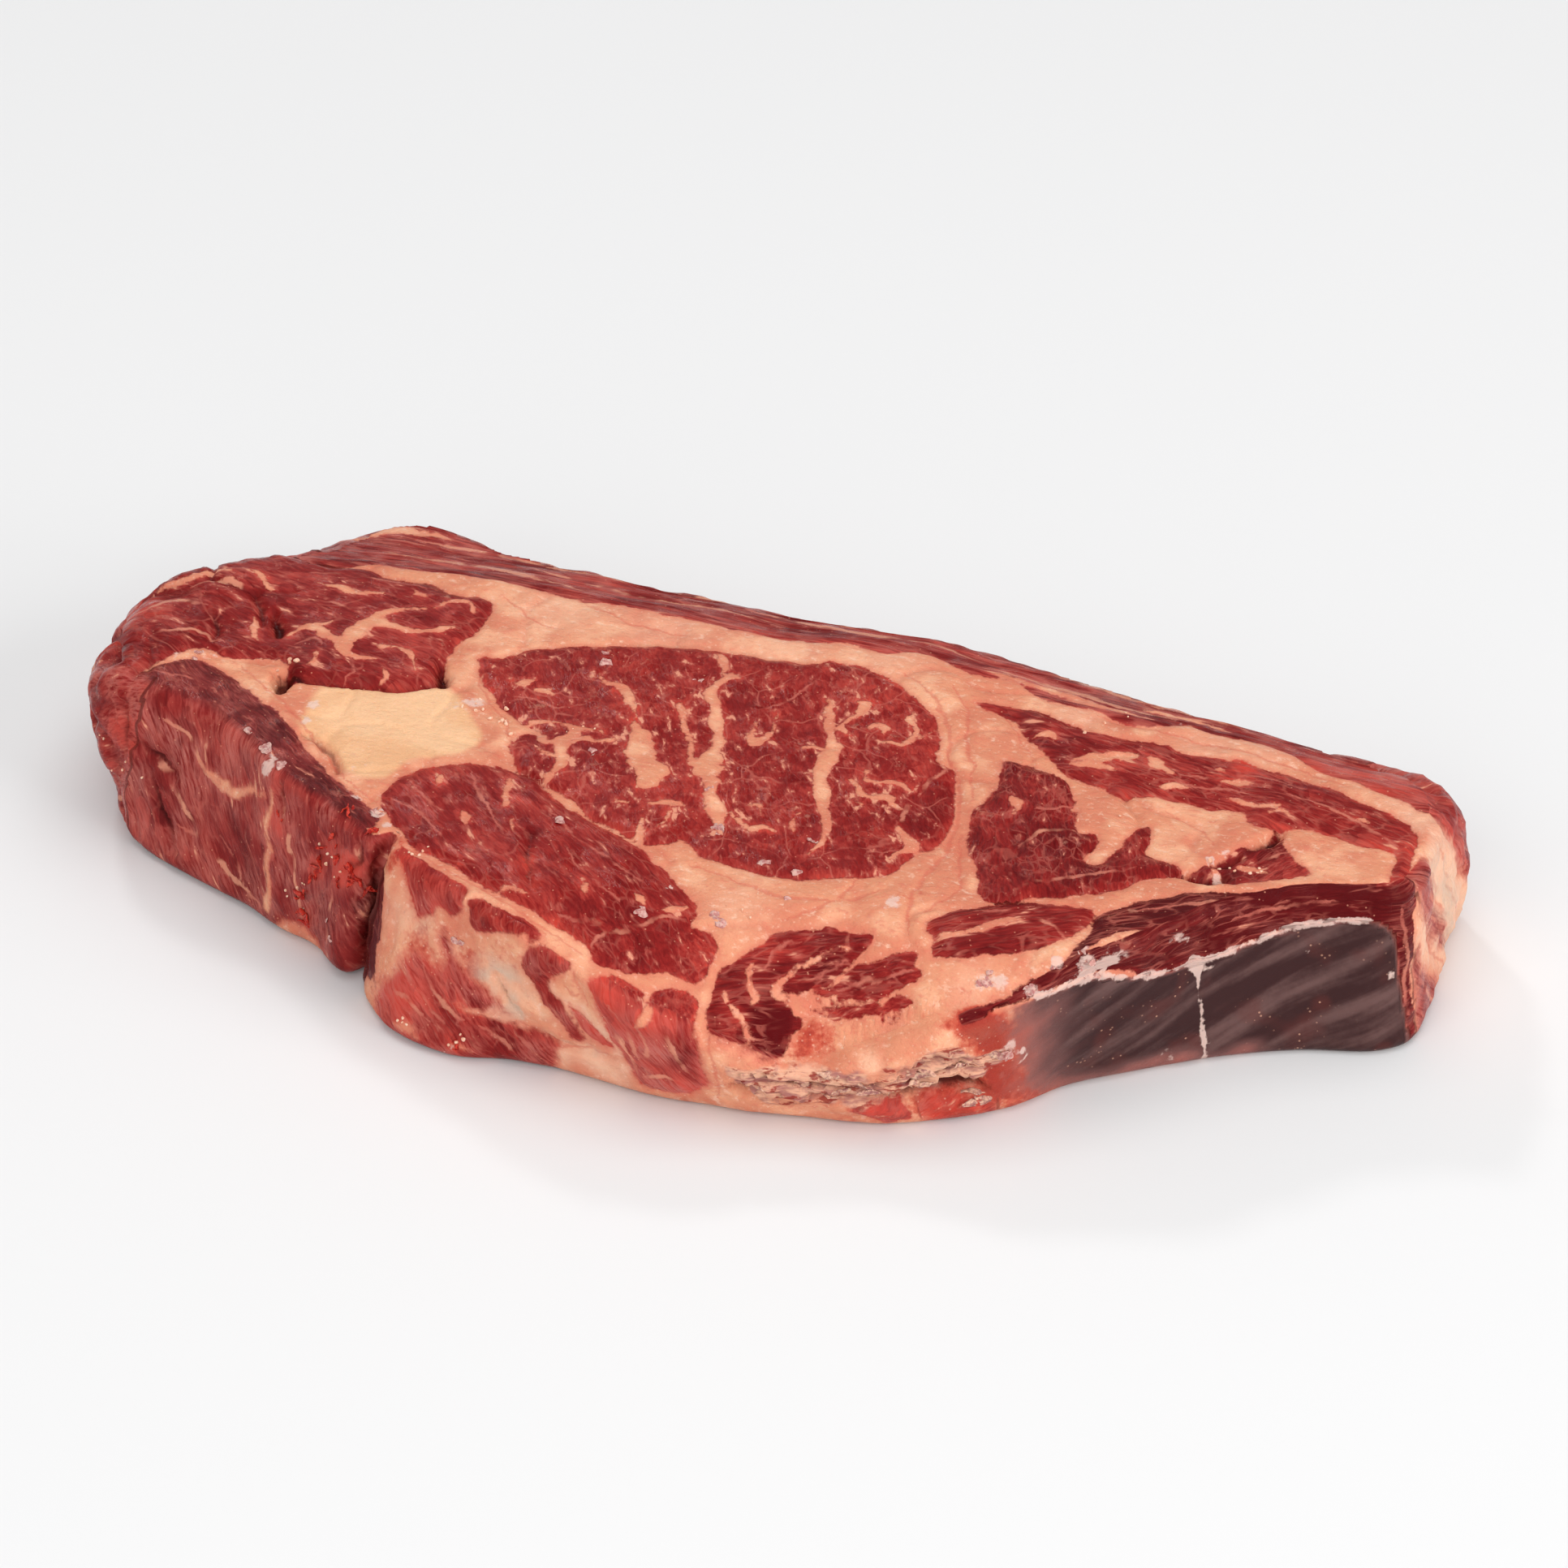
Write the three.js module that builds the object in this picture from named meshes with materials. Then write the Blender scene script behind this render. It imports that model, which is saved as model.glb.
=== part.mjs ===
// A raw beef rib steak, cut thick, lying flat on its lower cut face.
// It is one piece of meat, so it is one closed solid. Millimetres, +Z up.
// +X runs along the steak from its loose left end to the squared rib side,
// +Y runs to the back edge, and the origin is under the middle of the steak.

import * as THREE from 'three';

// ---- driving dimensions -------------------------------------------------

const thickness = 37;          // upper cut face above the lower one
const ribSideExtra = 1.2;      // the rib side is cut this much thicker
const footRound = 3;           // rounding where the sides meet the lower face
const samplesPerSpan = 4;      // stations of the mesh between two rim points
const sideRows = 9;            // rows of faces from the top edge to the foot
const topRings = 11;           // rings of faces from the top edge to the spine
const footRings = 3;           // rings of faces on the flat lower face
const spineShare = 0.1;        // width of the innermost ring, of the whole
const spine = { fromX: -128, toX: 104, y: 3 };
const edgeSamples = 96;        // points in a muscle's closed outline
const lean = new THREE.Color('rgb(152, 62, 54)');

// The rim, once round, anticlockwise seen from above, from the deep crease.
// Each row: top edge x, y; foot x, y; rounding of the top edge; belly of the side.
const rim = [
  [-60.5, -61, -67, -64, 2, 1],
  [-56, -64, -59, -72.5, 2, 1],
  [-44, -69.5, -43, -77.5, 2, 0],
  [-31, -75, -30, -74.5, 2, 0],
  [-16, -79, -16, -73.5, 3, 1],
  [-1, -81, 1, -74.5, 3, 1],
  [14, -81, 14, -73, 5, 1],
  [28, -79, 27, -70.5, 6, 1],
  [44, -72.5, 47, -66, 6, 2],
  [58, -66, 60, -59, 5, 1],
  [70, -57, 70, -51, 3, 0],
  [79.5, -47, 78, -40, 2, 0],
  [90, -35.5, 89, -30.5, 2, 0],
  [101, -20.5, 102, -20.5, 2, 0],
  [115, -8.5, 117, -12, 2.5, 0],
  [128, -4, 131, -6, 3, 0],
  [134, 0, 136, 0, 3, 0],
  [134, 12, 134, 14, 2.5, 0],
  [132, 28, 133, 32, 2.5, 2],
  [128, 43, 131, 47, 4, 5],
  [118, 51, 124, 54, 5, 3],
  [100, 56, 102, 58, 7, 1],
  [70, 58.5, 70, 59, 8, 1],
  [35, 64.5, 35, 62, 8, 1],
  [0, 65, 0, 63, 8, 1],
  [-38, 65, -38, 63, 8, 1],
  [-75, 65, -75, 63, 7, 1],
  [-108, 70.5, -112, 63, 5, 1],
  [-123, 63.5, -125, 55, 4, 1],
  [-131, 41, -130, 40, 6, 1],
  [-144, 26.5, -141, 24, 6, 1],
  [-157, 16, -149, 9, 6, 1],
  [-160, 2, -152, -5, 8, 1],
  [-156.5, -14, -148, -13, 10, 1],
  [-146, -26, -140, -25, 8, 1],
  [-131, -29.5, -131, -33, 5, 1],
  [-118, -31, -117, -39, 3, 1],
  [-104, -38, -103, -45.5, 2, 1],
  [-92, -47, -93, -51.5, 2, 1],
  [-76, -54.5, -83, -54.5, 2, 1],
  [-65, -60, -72.5, -59.5, 2, 1],
  [-62.3, -57.5, -68, -54.5, 2, 0],
];

// The back edge of the fat, where the cap muscle starts to fall away behind it.
const capLine = [
  [-131, 30], [-115, 33.5], [-77, 40], [-20, 40.5], [11, 47], [30, 42.5], [46, 39.5], [98, 38], [126, 30],
];
const capSlope = 0.26;
const capCurve = 0.002;

// Hollows of the front edge, where the meat hangs down to the board.
const dips = [
  { x: 40, halfWidth: 30, from: -46, to: -80, deep: 20 },
  { x: 2, halfWidth: 24, from: -58, to: -82, deep: 6 },
  { x: 72, halfWidth: 12, from: -38, to: -60, deep: 5 },
];
const leftRoll = { from: -132, bend: 0.012 };   // the loose end rolls down

// Muscles stand proud of the fat between them. rise is the crown of each one.
const muscles = [
  { rise: 1.3, outline: [                       // eye of the rib
    [-70, 11], [-48, 25], [-15, 31], [0, 35], [20, 25], [33, 3], [41, -16],
    [36, -32], [13, -42], [-22, -40], [-48, -27], [-56, -11]] },
  { rise: 1.6, outline: [                       // oval muscle at the front left
    [-70, -42], [-57, -27.5], [-32, -35], [-2, -50], [10, -66], [-10, -75], [-38, -68], [-62, -53]] },
  { rise: 1.8, outline: [                       // loose muscle at the left end
    [-78, 28], [-92, 31], [-118, 31], [-139, 17], [-148, -2], [-132, -12],
    [-103, -13], [-76, -2]] },
  { rise: 2.0, outline: [                       // small muscle at the front
    [15, -70], [19, -59], [32, -52], [50, -54], [48, -65], [32, -75], [18, -78]] },
  { rise: 1.4, outline: [                       // round muscle right of the eye
    [44, 12], [56, 12], [65, -12], [82, -9], [86, -18], [68, -28], [54, -33], [45, -14]] },
  { rise: 1.3, outline: [                       // strip along the back right
    [29, 33], [60, 31], [105, 29], [124, 22], [133, 10], [102, 12], [62, 12], [40, 27]] },
  { rise: 1.0, outline: [                       // strips beside the rib bones
    [50, -49], [62, -36], [80, -30], [104, -11], [124, -5], [108, -16], [88, -34], [66, -49]] },
];
const crownReach = 6;          // how far in from its edge a muscle is still rising
const seamDepth = 1.0;
const seamWidth = 2.6;

// Open seams and tears in the upper face: a line, its width and its depth.
const clefts = [
  { line: [[-107, -18], [-98, -27], [-86, -38], [-72, -47]], width: 2.4, deep: 2.0 },
  { line: [[-112, -12], [-104, -15]], width: 2.6, deep: 4.5 },
  { line: [[-117, 12], [-115, -1]], width: 2.6, deep: 4.5 },
  { line: [[-78, 3], [-76, -4]], width: 2.2, deep: 3.5 },
  { line: [[86, -9], [93, -12], [98, -5], [104, 5]], width: 2.8, deep: 3.0 },
  { line: [[74, 6], [80, -5]], width: 2.0, deep: 1.5 },
];

// Folds of the side: at a place along the rim, a height range, and a depth.
const sideFolds = [
  { at: [62, -60], halfWidth: 16, z: 6.5, halfHeight: 2.6, deep: 3.2 },
  { at: [28, -74], halfWidth: 12, z: 10, halfHeight: 2.2, deep: 1.5 },
  { at: [-22, -76], halfWidth: 3, z: 18, halfHeight: 14, deep: 1.2 },
  { at: [-1, -77], halfWidth: 3, z: 14, halfHeight: 12, deep: 1.2 },
  { at: [134.5, 18], halfWidth: 4, z: 18, halfHeight: 14, deep: 1.0 },
];

// The loose left end and the sides are coarse bundles of fibre.
const bundle = { size: 8.5, depth: 1.5, fullX: -128, noneX: -96, sideDepth: 0.7, seed: 11 };

// ---- small helpers --------------------------------------------------------

const clamp01 = (v) => Math.min(1, Math.max(0, v));

function ease(from, to, v) {
  const t = clamp01((v - from) / (to - from));
  return t * t * (3 - 2 * t);
}

// A closed curve through rows of numbers, spaced by the square root of the
// distance between their first two values, so close rows make no loops.
function loopThrough(rows, perSpan) {
  const count = rows.length;
  const out = [];
  for (let i = 0; i < count; i++) {
    const q = [-1, 0, 1, 2].map((k) => rows[(i + k + count) % count]);
    const knot = [0];
    for (let k = 0; k < 3; k++) {
      knot.push(knot[k] + Math.sqrt(Math.hypot(q[k + 1][0] - q[k][0], q[k + 1][1] - q[k][1])));
    }
    const blend = (a, b, ka, kb, t) => a.map((v, c) => ((kb - t) * v + (t - ka) * b[c]) / (kb - ka));
    for (let j = 0; j < perSpan; j++) {
      const t = knot[1] + (knot[2] - knot[1]) * (j / perSpan);
      const a1 = blend(q[0], q[1], knot[0], knot[1], t);
      const a2 = blend(q[1], q[2], knot[1], knot[2], t);
      const a3 = blend(q[2], q[3], knot[2], knot[3], t);
      const b1 = blend(a1, a2, knot[0], knot[2], t);
      const b2 = blend(a2, a3, knot[1], knot[3], t);
      out.push(blend(b1, b2, knot[1], knot[2], t));
    }
  }
  return out;
}

function distanceToSegment(x, y, a, b) {
  const dx = b[0] - a[0];
  const dy = b[1] - a[1];
  const t = clamp01(((x - a[0]) * dx + (y - a[1]) * dy) / (dx * dx + dy * dy));
  return Math.hypot(x - a[0] - t * dx, y - a[1] - t * dy);
}

function distanceToLine(x, y, points, closed) {
  const last = closed ? points.length : points.length - 1;
  let best = Infinity;
  for (let i = 0; i < last; i++) {
    best = Math.min(best, distanceToSegment(x, y, points[i], points[(i + 1) % points.length]));
  }
  return best;
}

function isInside(x, y, loop) {
  let inside = false;
  for (let i = 0, j = loop.length - 1; i < loop.length; j = i++) {
    const [xi, yi] = loop[i];
    const [xj, yj] = loop[j];
    if (yi > y !== yj > y && x < ((xj - xi) * (y - yi)) / (yj - yi) + xi) {
      inside = !inside;
    }
  }
  return inside;
}

function heightAlong(line, x) {
  let i = 0;
  while (i < line.length - 2 && x > line[i + 1][0]) {
    i++;
  }
  const t = clamp01((x - line[i][0]) / (line[i + 1][0] - line[i][0]));
  return line[i][1] + (line[i + 1][1] - line[i][1]) * t;
}

// Smooth noise between -1 and 1 on a lattice with hashed corners.
function corner(i, j, k) {
  const h = Math.sin(i * 127.1 + j * 311.7 + k * 74.7 + bundle.seed) * 43758.5453;
  return 2 * (h - Math.floor(h)) - 1;
}

function noise(x, y, z) {
  const [i, j, k] = [Math.floor(x), Math.floor(y), Math.floor(z)];
  const [u, v, w] = [ease(0, 1, x - i), ease(0, 1, y - j), ease(0, 1, z - k)];
  const mix = THREE.MathUtils.lerp;
  const layer = (c) => mix(
    mix(corner(i, j, c), corner(i + 1, j, c), u),
    mix(corner(i, j + 1, c), corner(i + 1, j + 1, c), u), v);
  return mix(layer(k), layer(k + 1), w);
}

// ---- upper face -------------------------------------------------------------

function faceHeight(x, y) {
  let z = thickness + ribSideExtra * ease(80, 130, x);
  for (const dip of dips) {
    const across = Math.exp(-(((x - dip.x) / dip.halfWidth) ** 2));
    z -= dip.deep * across * ease(dip.from, dip.to, y);
  }
  const behind = Math.max(0, y - heightAlong(capLine, x));
  z -= capSlope * behind + capCurve * behind * behind;
  const beyond = Math.max(0, leftRoll.from - x);
  return z - leftRoll.bend * beyond * beyond;
}

const muscleEdges = muscles.map((muscle) => loopThrough(muscle.outline, edgeSamples / muscle.outline.length));

function bundles(x, y, z) {
  const s = bundle.size;
  return noise(x / s, y / s, z / s) * 0.7 + noise((2 * x) / s, (2 * y) / s, (2 * z) / s) * 0.3;
}

function faceRelief(x, y) {
  let z = 0;
  muscles.forEach((muscle, m) => {
    const away = distanceToLine(x, y, muscleEdges[m], true);
    z -= seamDepth * Math.exp(-((away / seamWidth) ** 2));
    if (isInside(x, y, muscleEdges[m])) {
      z += muscle.rise * (1 - Math.exp(-away / crownReach));
    }
  });
  for (const cleft of clefts) {
    const away = distanceToLine(x, y, cleft.line, false);
    z -= cleft.deep * Math.exp(-((away / cleft.width) ** 2));
  }
  const loose = ease(bundle.noneX, bundle.fullX, x);
  return z + bundle.depth * loose * bundles(x, y, 0);
}

// ---- sides --------------------------------------------------------------------

const stations = loopThrough(rim, samplesPerSpan).map(([x, y, footX, footY, round, belly]) => ({
  top: new THREE.Vector2(x, y),
  foot: new THREE.Vector2(footX, footY),
  height: faceHeight(x, y),
  round,
  belly,
}));

stations.forEach((station, i) => {
  const before = stations.at(i - 1).top;
  const after = stations[(i + 1) % stations.length].top;
  station.out = new THREE.Vector2(after.y - before.y, before.x - after.x).normalize();
});

// How far a quarter-round corner has drawn the side in, at a share k of its height.
const drawnIn = (radius, k) => radius * (1 - Math.sqrt(1 - clamp01(k) ** 2));

function sidePoint(station, z) {
  const down = 1 - z / station.height;
  const round = Math.min(station.round, station.height * 0.45);
  let out = station.belly * Math.sin(Math.PI * down);
  out -= drawnIn(round, (z - station.height + round) / round);
  out -= drawnIn(footRound, (footRound - z) / footRound);
  const p = station.top.clone().lerp(station.foot, down);
  const middle = Math.sin(Math.PI * down);
  for (const fold of sideFolds) {
    const along = Math.hypot(p.x - fold.at[0], p.y - fold.at[1]) / fold.halfWidth;
    const up = (z - fold.z) / fold.halfHeight;
    out -= fold.deep * middle * Math.exp(-(along ** 2) - up ** 2);
  }
  const loose = ease(bundle.noneX, bundle.fullX, p.x);
  const depth = THREE.MathUtils.lerp(bundle.sideDepth, bundle.depth, loose);
  out += depth * middle * bundles(p.x, p.y, z * 0.5);
  return p.addScaledVector(station.out, out);
}

// ---- one closed skin --------------------------------------------------------

const positions = [];
const faces = [];

function addRing(points) {
  const first = positions.length / 3;
  for (const [x, y, z] of points) {
    positions.push(x, y, z);
  }
  return first;
}

// Joins a ring to the next one, each with a vertex for every station.
function joinRings(outer, inner) {
  const count = stations.length;
  for (let i = 0; i < count; i++) {
    const j = (i + 1) % count;
    faces.push(outer + i, outer + j, inner + j, outer + i, inner + j, inner + i);
  }
}

function towardSpine(p, share) {
  const along = ease(-0.15, 1.15, (p.x - rimSpan.min) / (rimSpan.max - rimSpan.min));
  const x = THREE.MathUtils.lerp(spine.fromX, spine.toX, along);
  return [x + (p.x - x) * share, spine.y + (p.y - spine.y) * share];
}

// Closes an innermost ring across its narrow width, from the left tip to the right.
function closeAcross(first, facesUp) {
  const count = stations.length;
  const xs = stations.map((station) => station.top.x);
  const left = xs.indexOf(rimSpan.min);
  const right = xs.indexOf(rimSpan.max);
  let front = (left + 1) % count;
  let back = left;
  for (let i = 0; i < count - 2; i++) {
    const nextFront = (front + 1) % count;
    const nextBack = (back + count - 1) % count;
    const stepFront = front !== right && (back === right || xs[nextFront] < xs[nextBack]);
    const next = stepFront ? nextFront : nextBack;
    if (facesUp) {
      faces.push(first + front, first + next, first + back);
    } else {
      faces.push(first + front, first + back, first + next);
    }
    front = stepFront ? next : front;
    back = stepFront ? back : next;
  }
}

const rimSpan = {
  min: Math.min(...stations.map((station) => station.top.x)),
  max: Math.max(...stations.map((station) => station.top.x)),
};

function buildSteak() {
  const edge = stations.map((station) => sidePoint(station, station.height));
  const foot = stations.map((station) => sidePoint(station, 0));

  // Upper face, from the innermost ring out to the edge.
  const topStart = [];
  for (let ring = 0; ring <= topRings; ring++) {
    const share = THREE.MathUtils.lerp(spineShare, 1, ring / topRings);
    topStart.push(addRing(edge.map((p) => {
      const [x, y] = towardSpine(p, share);
      return [x, y, faceHeight(x, y) + faceRelief(x, y)];
    })));
  }
  closeAcross(topStart[0], true);
  for (let ring = 0; ring < topRings; ring++) {
    joinRings(topStart[ring + 1], topStart[ring]);
  }

  // Sides, with closer rows at the two edges.
  let above = topStart[topRings];
  for (let row = 1; row <= sideRows; row++) {
    const share = 0.5 + 0.5 * Math.cos((Math.PI * row) / sideRows);
    const below = addRing(stations.map((station) => {
      const z = station.height * share;
      const p = sidePoint(station, z);
      return [p.x, p.y, z + faceRelief(p.x, p.y) * share * share];
    }));
    joinRings(below, above);
    above = below;
  }

  // Flat lower face.
  for (let ring = footRings - 1; ring >= 0; ring--) {
    const share = THREE.MathUtils.lerp(spineShare, 1, ring / footRings);
    const inner = addRing(foot.map((p) => [...towardSpine(p, share), 0]));
    joinRings(inner, above);
    above = inner;
  }
  closeAcross(above, false);

  const geometry = new THREE.BufferGeometry();
  geometry.setAttribute('position', new THREE.Float32BufferAttribute(positions, 3));
  geometry.setIndex(faces);
  geometry.computeBoundingBox();
  const box = geometry.boundingBox;
  geometry.translate(-(box.min.x + box.max.x) / 2, -(box.min.y + box.max.y) / 2, 0);
  geometry.computeVertexNormals();
  return geometry;
}

const steak = new THREE.Mesh(
  buildSteak(),
  new THREE.MeshStandardMaterial({ color: lean, roughness: 0.42, metalness: 0 }),
);
steak.name = 'steak';

const group = new THREE.Group();
group.add(steak);

export default group;
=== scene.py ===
import math

import bpy
import numpy as np
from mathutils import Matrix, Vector
from mathutils.geometry import delaunay_2d_cdt


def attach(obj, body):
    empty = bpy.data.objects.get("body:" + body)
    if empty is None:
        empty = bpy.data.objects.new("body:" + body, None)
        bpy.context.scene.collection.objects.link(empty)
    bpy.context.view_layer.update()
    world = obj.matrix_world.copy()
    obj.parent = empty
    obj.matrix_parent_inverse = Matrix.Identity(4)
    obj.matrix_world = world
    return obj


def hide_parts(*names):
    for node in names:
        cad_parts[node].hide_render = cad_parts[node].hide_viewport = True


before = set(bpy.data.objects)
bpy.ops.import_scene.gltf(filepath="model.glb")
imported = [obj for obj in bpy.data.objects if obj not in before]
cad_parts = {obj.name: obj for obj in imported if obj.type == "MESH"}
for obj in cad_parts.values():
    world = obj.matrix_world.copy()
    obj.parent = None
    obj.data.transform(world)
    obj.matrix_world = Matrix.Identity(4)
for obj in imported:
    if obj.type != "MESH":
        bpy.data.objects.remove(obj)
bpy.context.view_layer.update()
mm = 0.001
print("frame loaded")

# everything on the steak is drawn in millimetres. On the cut faces a place is x, y, from a
# point inside the eye muscle. On the sides it is the way along the rim and the height.
cut = {
    "thickness": 37.0,
    "ribSideExtra": 1.2,      # the rib side is cut a little thicker
    "footRound": 3.0,
    "middle": (-11.5, -5.5),  # the middle of the outline, which lies on the origin
    "spacing": 0.82,          # between points of the fine skin
    "footSpacing": 1.7,
    "sideRows": 36,
}

# once round the rim, from the deep crease at the front, anticlockwise from above
# top edge x, y, foot x, y, rounding of the top edge, belly of the side
rim = [
    (-60.5, -61, -67, -64, 2, 1), (-56, -64, -59, -72.5, 2, 1), (-44, -69.5, -43, -77.5, 2, 0),
    (-31, -75, -30, -74.5, 2, 0), (-16, -79, -16, -73.5, 3, 1), (-1, -81, 1, -74.5, 3, 1),
    (14, -81, 14, -73, 5, 1), (28, -79, 27, -70.5, 6, 1), (44, -72.5, 47, -66, 6, 2),
    (58, -66, 60, -59, 5, 1), (70, -57, 70, -51, 3, 0), (79.5, -47, 78, -40, 2, 0),
    (90, -35.5, 89, -30.5, 2, 0), (101, -20.5, 102, -20.5, 2, 0), (115, -8.5, 117, -12, 2.5, 0),
    (128, -4, 131.6, -6.4, 3, 0), (134, 0, 137, 0, 3, 0), (134.5, 12, 136.5, 14, 2.5, 0),
    (132, 28, 134, 32, 2.5, 2), (127, 42.4, 131.5, 46, 4, 4.4), (117.4, 50, 123.4, 53, 5, 3),
    (100, 56, 102, 58, 7, 1), (70, 58.5, 70, 59, 8, 1), (35, 64.5, 35, 62, 8, 1),
    (0, 65, 0, 63, 8, 1), (-38, 65, -38, 63, 8, 1), (-75, 65, -75, 63, 7, 1),
    (-108, 70.5, -112, 63, 5, 1), (-123, 63.5, -125, 55, 4, 1), (-131, 41, -130, 40, 6, 1),
    (-144, 25.5, -141, 23, 6, 1), (-156, 15, -148, 9, 6, 1), (-158, 2, -150.4, -5, 8, 1),
    (-155, -14, -146.4, -13, 10, 1), (-146, -26, -140, -26, 8, 1), (-131, -29.5, -132, -35.4, 5, 1),
    (-118, -31, -118, -41.2, 3, 1), (-104, -38, -103, -46, 2, 1), (-92, -47, -93, -50.7, 2, 1),
    (-76, -54.5, -83, -53.7, 2, 1), (-65, -60, -72.5, -59.5, 2, 1), (-62.3, -57.5, -68, -54.5, 2, 0),
]

# the back edge of the fat; the cap muscle falls away behind it
capLine = [
    (-131, 30), (-115, 33.5), (-77, 40), (-20, 40.5), (11, 47), (30, 42.5), (46, 39.5), (98, 38), (126, 30)]
capFall = {"slope": 0.28, "curve": 0.002}
# where the front edge sinks to the board: x, half width, from y, to y, depth
dips = [(40, 30, -46, -80, 20), (2, 24, -58, -82, 6), (72, 12, -38, -60, 5)]
leftRoll = {"from": -132, "bend": 0.012}
# where the upper face stands higher or lower than that: x, y, reach, height
swells = [(-114, 68, 12, 3.4), (102, 57, 14, -2.4), (-138, 32, 14, -1.4)]

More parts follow.
